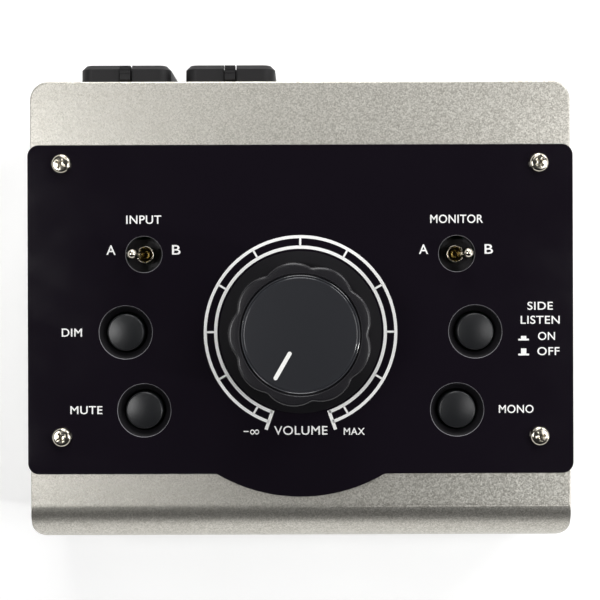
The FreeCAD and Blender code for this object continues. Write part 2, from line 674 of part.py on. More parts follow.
# ---- Volume knob ------------------------------------------------------
def lobed_outline(height, growth):
    """Closed outline of broad outward lobes joined by small inward valleys, all arcs."""
    lobe_r = KNOB_LOBE_R + growth
    valley_r = KNOB_VALLEY_R - growth
    centre_r = KNOB_LOBE_TIP_R - KNOB_LOBE_R
    half_step = math.pi / KNOB_LOBES
    across = centre_r * math.sin(half_step)
    valley_centre_r = centre_r * math.cos(half_step) + math.sqrt((lobe_r + valley_r) ** 2 - across ** 2)
    valley_start = math.radians(POINTER_ANGLE)

    def point(radius, angle):
        return Vector(radius * math.cos(angle), KNOB_Y + radius * math.sin(angle), height)

    joints = []
    for lobe in range(KNOB_LOBES):
        angle = valley_start + (2 * lobe + 1) * half_step
        centre = point(centre_r, angle)
        for turn in (-half_step, half_step):
            towards_valley = point(valley_centre_r, angle + turn) - centre
            joints.append(centre + towards_valley.normalize() * lobe_r)
    edges = []
    for lobe in range(KNOB_LOBES):
        angle = valley_start + (2 * lobe + 1) * half_step
        first, last = joints[2 * lobe], joints[2 * lobe + 1]
        following = joints[(2 * lobe + 2) % len(joints)]
        edges.append(Part.Arc(first, point(centre_r + lobe_r, angle), last).toShape())
        valley = point(valley_centre_r - valley_r, angle + half_step)
        edges.append(Part.Arc(last, valley, following).toShape())
    return Part.Wire(edges)


def knob_body():
    """Moulded knob: lobed grip on a round skirt, hollow below, with a hub for the shaft."""
    skirt_top = KNOB_BOTTOM + KNOB_SKIRT_EDGE
    slope_top = skirt_top + KNOB_SKIRT_SLOPE
    bevel_low = KNOB_TOP - KNOB_BEVEL
    foot_line = lobed_outline(KNOB_BOTTOM, KNOB_FOOT_GROWTH)
    bevel_line = lobed_outline(bevel_low, 0)
    grip = Part.makeLoft([foot_line, bevel_line], True, True)
    bevel = Part.makeLoft([bevel_line, lobed_outline(KNOB_TOP, -KNOB_BEVEL)], True, True)
    skirt = pillar(0, KNOB_Y, KNOB_BOTTOM, skirt_top, KNOB_SKIRT_R)
    slope = cone(0, KNOB_Y, skirt_top, slope_top, KNOB_SKIRT_R, KNOB_LOBE_TIP_R)
    body = grip.fuse([bevel, skirt, slope])
    inner_r = KNOB_LOBE_TIP_R - KNOB_WALL - KNOB_VALLEY_R
    cap_floor = KNOB_TOP - KNOB_CAP_THICKNESS
    roof_low = cap_floor - KNOB_ROOF
    pocket = pillar(0, KNOB_Y, KNOB_BOTTOM, roof_low, inner_r)
    hub = pillar(0, KNOB_Y, KNOB_HUB_BOTTOM, roof_low, KNOB_HUB_R)
    body = body.cut(pocket).fuse(hub)
    shaft_space = shaft_form(POT_SHAFT_GAP, KNOB_HUB_BOTTOM, POT_SHAFT_TOP + SHEET_GAP)
    rim_r = KNOB_CAP_R + KNOB_CAP_GROOVE
    cap_seat = pillar(0, KNOB_Y, cap_floor, KNOB_TOP, rim_r)
    lead_in = cone(0, KNOB_Y, KNOB_TOP - KNOB_CAP_BEVEL, KNOB_TOP, rim_r, rim_r + KNOB_CAP_BEVEL)
    return body.cut([shaft_space, cap_seat, lead_in]).removeSplitter()


def pointer_form(extra, low, high):
    """Round-ended bar that points from the knob's centre towards its rim."""
    half = POINTER_WIDTH / 2 + extra
    bar = box(POINTER_START_R + POINTER_WIDTH / 2, POINTER_END_R - POINTER_WIDTH / 2, -half, half, low, high)
    for x in (POINTER_START_R + POINTER_WIDTH / 2, POINTER_END_R - POINTER_WIDTH / 2):
        bar = bar.fuse(pillar(x, 0, low, high, half))
    bar.rotate(Vector(0, 0, 0), UP, POINTER_ANGLE)
    bar.translate(Vector(0, KNOB_Y, 0))
    return bar


def knob_cap():
    low = KNOB_TOP - KNOB_CAP_THICKNESS
    disc = pillar(0, KNOB_Y, low, KNOB_TOP - KNOB_CAP_BEVEL, KNOB_CAP_R)
    bevel = cone(0, KNOB_Y, KNOB_TOP - KNOB_CAP_BEVEL, KNOB_TOP, KNOB_CAP_R, KNOB_CAP_R - KNOB_CAP_BEVEL)
    return disc.fuse(bevel).cut(pointer_form(POINTER_GAP, KNOB_TOP - POINTER_DEPTH, KNOB_TOP))


def knob_pointer():
    return pointer_form(0, KNOB_TOP - POINTER_DEPTH, KNOB_TOP)


# ---- Push switches: housing, plunger, spring and button cap -----------
SWITCH_FLOOR = BOARD_TOP + SWITCH_WALL
SWITCH_CEILING = SWITCH_FLOOR + SPRING_CLOSED_LENGTH + CAP_TRAVEL + COLLAR_THICKNESS + SHEET_GAP
SWITCH_TOP = SWITCH_CEILING + SWITCH_WALL
CAP_TOP = PANEL_TOP + CAP_RISE
CAP_BOTTOM = CAP_TOP - CAP_HEIGHT
COLLAR_BOTTOM = SWITCH_CEILING - SHEET_GAP - COLLAR_THICKNESS


def switch_housing(x, y):
    housing = block(x, y, BOARD_TOP, SWITCH_SIDE, SWITCH_SIDE, SWITCH_TOP - BOARD_TOP)
    room = SWITCH_SIDE - 2 * SWITCH_WALL
    cavity = block(x, y, SWITCH_FLOOR, room, room, SWITCH_CEILING - SWITCH_FLOOR)
    mouth_side = STEM_SIDE + 2 * SHEET_GAP
    mouth = block(x, y, SWITCH_CEILING, mouth_side, mouth_side, SWITCH_WALL)
    return housing.cut([cavity, mouth])


def switch_plunger(x, y):
    collar = block(x, y, COLLAR_BOTTOM, COLLAR_SIDE, COLLAR_SIDE, COLLAR_THICKNESS)
    stem_top = CAP_BOTTOM + CAP_SOCKET_DEPTH - STEM_GAP
    stem = block(x, y, COLLAR_BOTTOM, STEM_SIDE, STEM_SIDE, stem_top - COLLAR_BOTTOM)
    return collar.fuse(stem)


def switch_spring(x, y):
    """Return spring of round wire under the plunger's collar, made of quarter-turn arcs."""
    low = SWITCH_FLOOR + SPRING_WIRE_R
    rise = COLLAR_BOTTOM - SPRING_WIRE_R - low

    def on_helix(turns):
        across, along = on_circle(SPRING_COIL_R, 360 * turns)
        return Vector(x + across, y + along, low + rise * turns / SPRING_TURNS)

    arcs = []
    for quarter in range(4 * SPRING_TURNS):
        start, middle, end = [on_helix(quarter / 4 + part / 8) for part in range(3)]
        arcs.append(Part.Arc(start, middle, end).toShape())
    section = Part.makeCircle(SPRING_WIRE_R, on_helix(0), REARWARD)
    return Part.Wire(arcs).makePipeShell([Part.Wire(section)], True, True)


def button_cap(x, y):
    """Round cap with a shallow dome, closed over the plunger's square stem."""
    dome_r = (CAP_R ** 2 + CAP_CROWN ** 2) / (2 * CAP_CROWN)
    cap = pillar(x, y, CAP_BOTTOM, CAP_TOP, CAP_R)
    cap = cap.common(Part.makeSphere(dome_r, Vector(x, y, CAP_TOP - dome_r)))
    socket_side = STEM_SIDE + 2 * STEM_GAP
    return cap.cut(block(x, y, CAP_BOTTOM, socket_side, socket_side, CAP_SOCKET_DEPTH))


# ---- Toggle switches: housing, threaded bushing and lever -------------
TOGGLE_HOUSING_TOP = BOARD_TOP + TOGGLE_HEIGHT
TOGGLE_BUSHING_TOP = PANEL_TOP - TOGGLE_BUSHING_DROP
TOGGLE_PIVOT_Z = TOGGLE_BUSHING_TOP - TOGGLE_PIVOT_DROP


def toggle_housing(x, y):
    housing = block(x, y, BOARD_TOP, TOGGLE_WIDTH, TOGGLE_DEPTH, TOGGLE_HEIGHT)
    well_low = TOGGLE_HOUSING_TOP - TOGGLE_WELL_HEIGHT
    return housing.cut(block(x, y, well_low, TOGGLE_WELL_WIDTH, TOGGLE_WELL_DEPTH, TOGGLE_WELL_HEIGHT))


def swing_r(distance, radius):
    """Radius that a leaning bar of one radius needs at a distance from the pivot."""
    lean = math.radians(TOGGLE_LEAN_ANGLE)
    return distance * math.tan(lean) + radius / math.cos(lean) + TOGGLE_SWING_GAP


def toggle_bushing(x, y):
    """Bracket plate and neck, waisted inside where the lever's ball sits."""
    plate_top = TOGGLE_HOUSING_TOP + TOGGLE_PLATE_THICKNESS
    plate = block(x, y, TOGGLE_HOUSING_TOP, TOGGLE_WIDTH, TOGGLE_DEPTH, TOGGLE_PLATE_THICKNESS)
    neck = pillar(x, y, plate_top, TOGGLE_BUSHING_TOP, TOGGLE_BUSHING_R)
    waist = TOGGLE_BALL_R + TOGGLE_BALL_GAP
    foot_r = swing_r(TOGGLE_PIVOT_Z - TOGGLE_HOUSING_TOP, TOGGLE_TAIL_R)
    lower = cone(x, y, TOGGLE_HOUSING_TOP, TOGGLE_PIVOT_Z, foot_r, waist)
    mouth_r = swing_r(TOGGLE_PIVOT_DROP, (TOGGLE_LEVER_ROOT_R + TOGGLE_LEVER_TIP_R) / 2)
    upper = cone(x, y, TOGGLE_PIVOT_Z, TOGGLE_BUSHING_TOP, waist, mouth_r)
    return plate.fuse(neck).cut([lower, upper])


def toggle_lever(x, y, lean):
    """Tapered bat lever with its pivot ball and the tail that works the contacts."""
    pivot = Vector(x, y, TOGGLE_PIVOT_Z)
    straight = TOGGLE_LEVER_LENGTH - TOGGLE_LEVER_TIP_R
    bat = cone(x, y, TOGGLE_PIVOT_Z, TOGGLE_PIVOT_Z + straight, TOGGLE_LEVER_ROOT_R, TOGGLE_LEVER_TIP_R)
    tip = Part.makeSphere(TOGGLE_LEVER_TIP_R, Vector(x, y, TOGGLE_PIVOT_Z + straight))
    tail = pillar(x, y, TOGGLE_PIVOT_Z - TOGGLE_TAIL_LENGTH, TOGGLE_PIVOT_Z, TOGGLE_TAIL_R)
    lever = Part.makeSphere(TOGGLE_BALL_R, pivot).fuse([bat, tip, tail])
    lever.rotate(pivot, REARWARD, lean)
    return lever


def switch_terminals():
    """Flat pins of the push and toggle switches, down through the control board."""
    return [block(x, y, BOARD_TOP - PIN_LENGTH, PIN_WIDTH, PIN_THICKNESS, PIN_LENGTH)
            for x, y in switch_pin_places()]


# ---- Rear panel -------------------------------------------------------
def rear_panel():
    half = HALF_WIDTH - REAR_CORNER_R - SHEET_GAP
    plate = box(-half, half, REAR_PANEL_INSIDE_Y, REAR_WALL_INSIDE_Y,
                BASE_TOP + SHEET_GAP, COVER_INSIDE_TOP - SHEET_GAP)
    holes = [rod(x, z, REAR_PANEL_INSIDE_Y, REAR_WALL_INSIDE_Y, SCREW_R + THREAD_GAP)
             for x, z in rear_screw_places()]
    for x in COMBOS.values():
        holes.append(combo_face(x, REAR_WALL_INSIDE_Y, SOCKET_HOLE_GAP))
    for x, z in JACKS.values():
        holes.append(rod(x, z, REAR_PANEL_INSIDE_Y, REAR_WALL_INSIDE_Y, JACK_BUSHING_R + SOCKET_HOLE_GAP))
    return plate.cut(holes)


def rear_panel_screws():
    grip = CASE_WALL + REAR_PANEL_THICKNESS + REAR_SCREW_GRIP
    return [stand_along_y(screw_along_z(grip), x, REAR_Y, z) for x, z in rear_screw_places()]


# ---- Combined XLR and jack sockets ------------------------------------
COMBO_FACE_Y = REAR_Y + COMBO_REACH
LATCH_TOP_Z = SOCKET_Z + COMBO_FACE_HEIGHT / 2 + LATCH_PROUD


def latch_slot(x, extra, travel):
    """Space of the push latch at the top of the socket's face."""
    half = LATCH_WIDTH / 2 + extra
    return box(x - half, x + half, COMBO_FACE_Y - LATCH_LENGTH - extra, COMBO_FACE_Y,
               LATCH_TOP_Z - LATCH_PROUD - LATCH_DEPTH - travel - extra, LATCH_TOP_Z)


def combo_face(x, front_y, extra=0):
    """Square face with round corners, from the rear panel's inside to front_y."""
    half_width = COMBO_FACE_WIDTH / 2 + extra
    half_height = COMBO_FACE_HEIGHT / 2 + extra
    face = box(x - half_width, x + half_width, REAR_PANEL_INSIDE_Y, front_y,
               SOCKET_Z - half_height, SOCKET_Z + half_height)
    corners = [edge for edge in face.Edges if abs(edge.tangentAt(0).y) > 0.5]
    return face.makeFillet(COMBO_FACE_CORNER_R + extra, corners)


def combo_socket(x):
    """Moulded socket: square face, flange behind the panel and a body down to the board."""
    face = combo_face(x, COMBO_FACE_Y)
    rim = [edge for edge in face.Edges if edge.BoundBox.YMin > COMBO_FACE_Y - SHEET_GAP]
    face = face.makeChamfer(COMBO_FACE_CHAMFER, rim)
    flange_y = REAR_PANEL_INSIDE_Y - COMBO_FLANGE_THICKNESS
    flange = block(x, (flange_y + REAR_PANEL_INSIDE_Y) / 2, SOCKET_Z - COMBO_FLANGE_HEIGHT / 2,
                   COMBO_FLANGE_WIDTH, COMBO_FLANGE_THICKNESS, COMBO_FLANGE_HEIGHT)
    body = block(x, (SOCKET_BACK_Y + flange_y) / 2, SOCKET_Z - COMBO_BODY_HEIGHT / 2,
                 COMBO_BODY_WIDTH, flange_y - SOCKET_BACK_Y, COMBO_BODY_HEIGHT)
    socket = face.fuse([flange, body])
    shell = rod(x, SOCKET_Z, COMBO_FACE_Y - COMBO_SHELL_DEPTH, COMBO_FACE_Y, COMBO_SHELL_R)
    shell = shell.cut(rod(x, SOCKET_Z, COMBO_FACE_Y - COMBO_SHELL_DEPTH, COMBO_FACE_Y, COMBO_INSERT_R))
    cuts = [shell, latch_slot(x, LATCH_GAP, LATCH_TRAVEL)]
    cuts.append(rod(x, SOCKET_Z, SOCKET_BACK_Y + SOCKET_BACK_WALL, COMBO_FACE_Y, JACK_BORE_R))
    well_floor = COMBO_FACE_Y - COMBO_SHELL_DEPTH
    for dx, dz in contact_places():
        contact_x = x + dx
        contact_z = SOCKET_Z + dz
        cuts.append(rod(contact_x, contact_z, well_floor, COMBO_FACE_Y, CONTACT_HOLE_R))
        tail_hole_r = CONTACT_TAIL_R + CONTACT_GAP
        cuts.append(rod(contact_x, contact_z, SOCKET_BACK_Y, COMBO_FACE_Y, tail_hole_r))
    return socket.cut(cuts)


def combo_contacts(x):
    """Three slotless sleeve contacts, each with a tail through the connector board."""
    contacts = []
    front = COMBO_FACE_Y - CONTACT_RECESS
    back = front - CONTACT_LENGTH
    for dx, dz in contact_places():
        sleeve = rod(x + dx, SOCKET_Z + dz, back, front, CONTACT_R)
        tail = rod(x + dx, SOCKET_Z + dz, CONNECTOR_BOARD_BACK_Y - TAIL_REACH, back, CONTACT_TAIL_R)
        hollow = rod(x + dx, SOCKET_Z + dz, back + CONTACT_R, front, CONTACT_BORE_R)
        contacts.append(sleeve.fuse(tail).cut(hollow))
    return contacts


def combo_latch(x):
    """Push tab that frees the plug: a ribbed thumb pad over a short tongue."""
    half = LATCH_WIDTH / 2
    tab = box(x - half, x + half, COMBO_FACE_Y - LATCH_LENGTH, COMBO_FACE_Y - LATCH_GAP,
              LATCH_TOP_Z - LATCH_PROUD - LATCH_DEPTH, LATCH_TOP_Z)
    ridge = [edge for edge in tab.Edges
             if edge.CenterOfMass.z > LATCH_TOP_Z - SHEET_GAP and abs(edge.tangentAt(0).x) > 0.5]
    return tab.makeFillet(LATCH_PROUD / 2, ridge)


# ---- Plain jack sockets -----------------------------------------------
def jack_socket(x, z):
    body = block(x, (SOCKET_BACK_Y + REAR_PANEL_INSIDE_Y) / 2, z - JACK_BODY_HEIGHT / 2,
                 JACK_BODY_WIDTH, SOCKET_DEPTH, JACK_BODY_HEIGHT)
    front = REAR_WALL_INSIDE_Y + JACK_REACH
    bushing = rod(x, z, REAR_PANEL_INSIDE_Y, front, JACK_BUSHING_R)
    return body.fuse(bushing).cut(rod(x, z, SOCKET_BACK_Y + SOCKET_BACK_WALL, front, JACK_BORE_R))


def jack_nuts():
    nuts = []
    bore = Part.makeCylinder(JACK_BUSHING_R + THREAD_GAP, JACK_NUT_THICKNESS)
    for x, z in JACKS.values():
        nut = hexagon(JACK_NUT_FLATS, JACK_NUT_THICKNESS).cut(bore)
        nuts.append(stand_along_y(nut, x, REAR_WALL_INSIDE_Y, z))
    return nuts


def jack_terminals():
    """Three round pins behind each jack, through the connector board."""
    pins = []
    for x, z in JACKS.values():
        for dx in (-JACK_TAIL_SPREAD, 0, JACK_TAIL_SPREAD):
            back = CONNECTOR_BOARD_BACK_Y - TAIL_REACH
            pins.append(rod(x + dx, z, back, SOCKET_BACK_Y, CONTACT_TAIL_R))
    return pins


# ---- Connector board and the ribbon cable to the control board --------
RIBBON_TOP = BOARD_BOTTOM - PLUG_HEIGHT
RIBBON_Z = BASE_TOP + RIBBON_BASE_GAP + PLUG_THICKNESS / 2
RIBBON_BEND_R = RIBBON_TOP - RIBBON_LEAD - RIBBON_Z
RIBBON_Y = BOARD_REAR_Y - RIBBON_SETBACK
RIBBON_END_Y = CONNECTOR_BOARD_BACK_Y - PLUG_HEIGHT


def connector_board():
    left = min(COMBOS.values()) - COMBO_BODY_WIDTH / 2 - CONNECTOR_BOARD_OVERHANG
    right = max(JACK_X) + JACK_BODY_WIDTH / 2 + CONNECTOR_BOARD_OVERHANG
    board = box(left, right, CONNECTOR_BOARD_BACK_Y, SOCKET_BACK_Y,
                BASE_TOP + CONNECTOR_BOARD_BOTTOM_GAP, COVER_INSIDE_TOP - CONNECTOR_BOARD_TOP_GAP)
    return board.cut([rod(x, z, CONNECTOR_BOARD_BACK_Y, SOCKET_BACK_Y, CONTACT_TAIL_R + BOARD_HOLE_GAP)
                      for x, z in socket_tail_places()])


def ribbon_cable():
    """Flat cable: down from the control board, round one bend and back to the sockets."""
    half = RIBBON_WIDTH / 2
    bend_y = RIBBON_Y + RIBBON_BEND_R
    bend_z = RIBBON_Z + RIBBON_BEND_R
    corner = RIBBON_BEND_R / math.sqrt(2)
    down = Part.LineSegment(Vector(0, RIBBON_Y, RIBBON_TOP), Vector(0, RIBBON_Y, bend_z)).toShape()
    turn = Part.Arc(Vector(0, RIBBON_Y, bend_z), Vector(0, bend_y - corner, bend_z - corner),
                    Vector(0, bend_y, RIBBON_Z)).toShape()
    along = Part.LineSegment(Vector(0, bend_y, RIBBON_Z), Vector(0, RIBBON_END_Y, RIBBON_Z)).toShape()
    thick = RIBBON_THICKNESS / 2
    corners = [(-half, -thick), (half, -thick), (half, thick), (-half, thick), (-half, -thick)]
    section = Part.makePolygon([Vector(x, RIBBON_Y + y, RIBBON_TOP) for x, y in corners])
    return Part.Wire([down, turn, along]).makePipeShell([section], True, False)


def cable_plugs():
    """Header and plug at each end of the ribbon cable."""
    upper = block(0, RIBBON_Y, RIBBON_TOP, PLUG_WIDTH, PLUG_THICKNESS, PLUG_HEIGHT)
    lower = box(-PLUG_WIDTH / 2, PLUG_WIDTH / 2, RIBBON_END_Y, CONNECTOR_BOARD_BACK_Y,
                RIBBON_Z - PLUG_THICKNESS / 2, RIBBON_Z + PLUG_THICKNESS / 2)
    return [upper, lower]


# ---- Build every node -------------------------------------------------
def build():
    os.makedirs("parts", exist_ok=True)
    save("top_cover", top_cover())
    save("base_plate", base_plate())
    save("rubber_feet", rubber_feet())
    save("foot_screws", foot_screws())
    save("control_panel", control_panel())
    save("panel_screws", panel_screws())
    save("control_board", control_board())
    save("board_screws", board_screws())
    save("pad_resistors", pad_resistors())
    save("switch_terminals", switch_terminals())
    save("pot_bushing", pot_bushing())
    save("pot_gangs", pot_gangs())
    save("pot_shaft", pot_shaft())
    save("pot_washer", pot_washer())
    save("pot_nut", pot_nut())
    save("knob_body", knob_body())
    save("knob_cap", knob_cap())
    save("knob_pointer", knob_pointer())
    for name, (x, y) in BUTTONS.items():
        save(name + "_button_cap", button_cap(x, y))
        save(name + "_switch_housing", switch_housing(x, y))
        save(name + "_switch_plunger", switch_plunger(x, y))
        save(name + "_switch_spring", switch_spring(x, y))
    for name, ((x, y), lean) in TOGGLES.items():
        save(name + "_housing", toggle_housing(x, y))
        save(name + "_bushing", toggle_bushing(x, y))
        save(name + "_lever", toggle_lever(x, y, lean))
    save("rear_panel", rear_panel())
    save("rear_panel_screws", rear_panel_screws())
    for name, x in COMBOS.items():
        save(name, combo_socket(x))
        save(name + "_contacts", combo_contacts(x))
        save(name + "_latch", combo_latch(x))
    for name, (x, z) in JACKS.items():
        save(name, jack_socket(x, z))
    save("jack_nuts", jack_nuts())
    save("jack_terminals", jack_terminals())
    save("connector_board", connector_board())
    save("ribbon_cable", ribbon_cable())
    save("cable_plugs", cable_plugs())


build()
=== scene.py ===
import json
import math
import bpy
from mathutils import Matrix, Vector


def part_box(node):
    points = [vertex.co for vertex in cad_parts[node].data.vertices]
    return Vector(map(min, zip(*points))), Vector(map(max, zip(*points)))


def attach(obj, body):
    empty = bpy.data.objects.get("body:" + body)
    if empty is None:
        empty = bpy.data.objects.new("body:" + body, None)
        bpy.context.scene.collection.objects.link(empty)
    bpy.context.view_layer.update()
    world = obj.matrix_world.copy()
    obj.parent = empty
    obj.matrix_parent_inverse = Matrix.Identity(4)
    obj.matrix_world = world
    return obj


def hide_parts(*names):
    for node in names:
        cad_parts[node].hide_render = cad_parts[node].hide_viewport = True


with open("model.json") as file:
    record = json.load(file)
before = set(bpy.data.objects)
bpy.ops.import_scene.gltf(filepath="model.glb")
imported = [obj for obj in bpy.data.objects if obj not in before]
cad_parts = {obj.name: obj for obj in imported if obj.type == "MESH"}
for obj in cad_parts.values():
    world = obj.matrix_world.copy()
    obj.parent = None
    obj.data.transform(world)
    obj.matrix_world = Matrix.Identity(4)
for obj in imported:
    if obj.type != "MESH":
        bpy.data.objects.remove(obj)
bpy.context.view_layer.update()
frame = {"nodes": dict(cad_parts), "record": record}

# ---- Top cover ----------------------------------------------------------------------------
# The case is one shell of 2 mm aluminium with a rolled brow along the front, open below and
# with a window for the sockets at the back. Bosses inside take the panel, board and foot
# screws. It is sprayed with silver metallic lacquer, whose flakes give a fine, lively grain.
MM = 0.001
HAIR = 0.02 * MM
COVER_WALL = 2.0 * MM
FRONT_CORNER_R = 4.5 * MM
REAR_CORNER_R = 5.0 * MM
BROW_R = 10.5 * MM
RIM_SOFTENING = 0.6 * MM
CORNER_STEPS = 14
BROW_STEPS = 40
SCREW_R = 1.45 * MM
SCREW_HEAD_R = 2.65 * MM
BOSS_R = 3.4 * MM
PILOT_R = 1.5 * MM
PANEL_SCREW_GRIP = 6.0 * MM
BOARD_BOSS_LENGTH = 17.0 * MM
BASE_PLATE_TOP = 1.2 * MM
FOOT_R = 5.5 * MM
POT_HOLE_R = 4.7 * MM
CAP_HOLE_R = 6.1 * MM
TOGGLE_COVER_HOLE_R = 5.4 * MM
SCREW_HOLE_R = 1.7 * MM
WINDOW_SIDE_BORDER = 11.3 * MM
WINDOW_BOTTOM_BORDER = 5.0 * MM
WINDOW_TOP_BORDER = 4.0 * MM
CUTTER_MARGIN = 1.0 * MM
FLAKE_GRAIN = 0.29 * MM
FLAKE_TILT = 0.07
case_low, case_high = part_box("top_cover")


def only(*pieces):
    """Select these pieces alone, in object mode, the first one active."""
    if bpy.context.mode != "OBJECT":
        bpy.ops.object.mode_set(mode="OBJECT")
    bpy.ops.object.select_all(action="DESELECT")
    for piece in pieces:
        piece.select_set(True)
    bpy.context.view_layer.objects.active = pieces[0]


def settle(name):
    """Name the object just added and put its place, turn and size in its mesh."""
    piece = bpy.context.object
    piece.name = piece.data.name = name
    only(piece)
    bpy.ops.object.transform_apply(location=True, rotation=True, scale=True)
    return piece


def block(name, low, high):
    """Box from its lowest to its highest corner."""
    low, high = Vector(low), Vector(high)
    bpy.ops.mesh.primitive_cube_add(size=1, location=(low + high) / 2, scale=high - low)
    return settle(name)


def drum(name, place, height, radius, top_radius=None, sides=48, along="Z"):
    """Round bar or cone that starts at a place and runs along +Z or +Y."""
    turn = (-math.pi / 2, 0, 0) if along == "Y" else (0, 0, 0)
    middle = Vector((0, height / 2, 0)) if along == "Y" else Vector((0, 0, height / 2))
    bpy.ops.mesh.primitive_cone_add(vertices=sides, radius1=radius, radius2=top_radius or radius,
                                    depth=height, location=Vector(place) + middle, rotation=turn)
    return settle(name)


def pick(piece, kind, wanted):
    """Enter edit mode with those vertices, edges or faces selected that pass the test."""
    only(piece)
    bpy.ops.object.mode_set(mode="EDIT")
    bpy.ops.mesh.select_mode(type=kind)
    bpy.ops.mesh.select_all(action="DESELECT")
    bpy.ops.object.mode_set(mode="OBJECT")
    mesh = piece.data
    if kind == "VERT":
        for vertex in mesh.vertices:
            vertex.select = wanted(vertex.co)
    elif kind == "EDGE":
        for edge in mesh.edges:
            edge.select = wanted(*[mesh.vertices[end].co for end in edge.vertices])
    else:
        for face in mesh.polygons:
            face.select = wanted(face.center, face.normal)
    bpy.ops.object.mode_set(mode="EDIT")


def bevel_edges(piece, wanted, width, segments):
    """Round the picked edges."""
    pick(piece, "EDGE", wanted)
    bpy.ops.mesh.bevel(offset=width, segments=segments, affect="EDGES")
    bpy.ops.object.mode_set(mode="OBJECT")


def joined(name, pieces):
    """Make several pieces one object."""
    only(*pieces)
    if len(pieces) > 1:
        bpy.ops.object.join()
    return settle(name)


def combine(piece, other, operation):
    """Cut, cross or fuse a piece with another, which is used up."""
    only(piece)
    boolean = piece.modifiers.new("combine", "BOOLEAN")
    boolean.operation = operation
    boolean.solver = "EXACT"
    boolean.object = other
    bpy.ops.object.modifier_apply(modifier="combine")
    bpy.data.objects.remove(other)


def smooth(piece, degrees=30):
    """Shade round faces smooth and keep flat ones flat."""
    only(piece)
    bpy.ops.object.shade_smooth_by_angle(angle=math.radians(degrees))
    weighted = piece.modifiers.new("weighted", "WEIGHTED_NORMAL")
    weighted.keep_sharp = True
    bpy.ops.object.modifier_apply(modifier="weighted")


def soften(piece, width, segments=2, degrees=40):
    """Give every sharp edge the small radius that a made edge has."""
    only(piece)
    bevel = piece.modifiers.new("soften", "BEVEL")
    bevel.width = width
    bevel.segments = segments
    bevel.limit_method = "ANGLE"
    bevel.angle_limit = math.radians(degrees)
    bpy.ops.object.modifier_apply(modifier="soften")
    smooth(piece)


def corners_of(node, inset):
    """The four places of a group of four like pieces, found from the box around them."""
    low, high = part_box(node)
    return [(x, y) for x in (low.x + inset, high.x - inset) for y in (low.y + inset, high.y - inset)]


def middle_of(node):
    """The middle of the box round a CAD node."""
    low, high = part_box(node)
    return (low + high) / 2


def case_form(name, inset, bottom):
    """The case as a solid: its plan with round corners crossed with its rolled side view."""
    low = Vector((case_low.x + inset, case_low.y + inset, bottom))
    high = case_high - Vector((inset, inset, inset))
    plan = block(name, low, high)

    def upright_at(y):
        return lambda a, b: abs(a.z - b.z) > COVER_WALL and max(abs(a.y - y), abs(b.y - y)) < HAIR

    bevel_edges(plan, upright_at(low.y), FRONT_CORNER_R - inset, CORNER_STEPS)
    bevel_edges(plan, upright_at(high.y), REAR_CORNER_R - inset, CORNER_STEPS)
    bevel_edges(plan, lambda a, b: min(a.z, b.z) > high.z - HAIR, RIM_SOFTENING, 4)
    margin = Vector((COVER_WALL, 0, COVER_WALL))
    side = block("side_view", low - margin, high + Vector((COVER_WALL, COVER_WALL, 0)))
    brow = lambda a, b: min(a.z, b.z) > high.z - HAIR and max(a.y, b.y) < low.y + HAIR
    bevel_edges(side, brow, BROW_R - inset, BROW_STEPS)
    combine(plan, side, "INTERSECT")
    return plan


cover = case_form("top_cover_shell", 0, case_low.z)
cavity = case_form("cavity", COVER_WALL, case_low.z - COVER_WALL)
roof = case_high.z - COVER_WALL
foot_places = corners_of("rubber_feet", FOOT_R)
board_places = corners_of("board_screws", SCREW_HEAD_R)
panel_screw_places = corners_of("panel_screws", SCREW_HEAD_R)
boss_floor = case_low.z + BASE_PLATE_TOP
bosses = []
pilots = []
for places, floor in ((foot_places, boss_floor), (board_places, roof - BOARD_BOSS_LENGTH),
                      (panel_screw_places, case_high.z - PANEL_SCREW_GRIP)):
    for x, y in places:
        bosses.append(drum("boss", (x, y, floor), roof - floor + HAIR, BOSS_R, sides=32))
for x, y in foot_places + board_places:
    pilots.append(drum("pilot", (x, y, case_low.z), roof - case_low.z, PILOT_R, sides=24))
for x, y in panel_screw_places:
    low = (x, y, roof - PANEL_SCREW_GRIP)
    pilots.append(drum("pilot", low, 2 * PANEL_SCREW_GRIP, PILOT_R, sides=24))
combine(cavity, joined("bosses", bosses), "DIFFERENCE")
combine(cover, cavity, "DIFFERENCE")
knob_place = middle_of("knob_cap")
cut_length = COVER_WALL + 2 * CUTTER_MARGIN
cut_floor = case_high.z - COVER_WALL - CUTTER_MARGIN
cut_front = case_high.y - COVER_WALL - CUTTER_MARGIN
holes = pilots + [drum("hole", (knob_place.x, knob_place.y, cut_floor), cut_length, POT_HOLE_R)]
BUTTONS = ("dim", "mute", "mono", "side_listen")
TOGGLES = ("input_toggle", "monitor_toggle")
cap_places = [middle_of(button + "_button_cap") for button in BUTTONS]
bushing_places = [middle_of(toggle + "_bushing") for toggle in TOGGLES]


def cutters(places, floor, height, radius, top_radius=None, sides=96):
    """Drums for holes of one size at several places."""
    return [drum("hole", (place.x, place.y, floor), height, radius, top_radius, sides) for place in places]


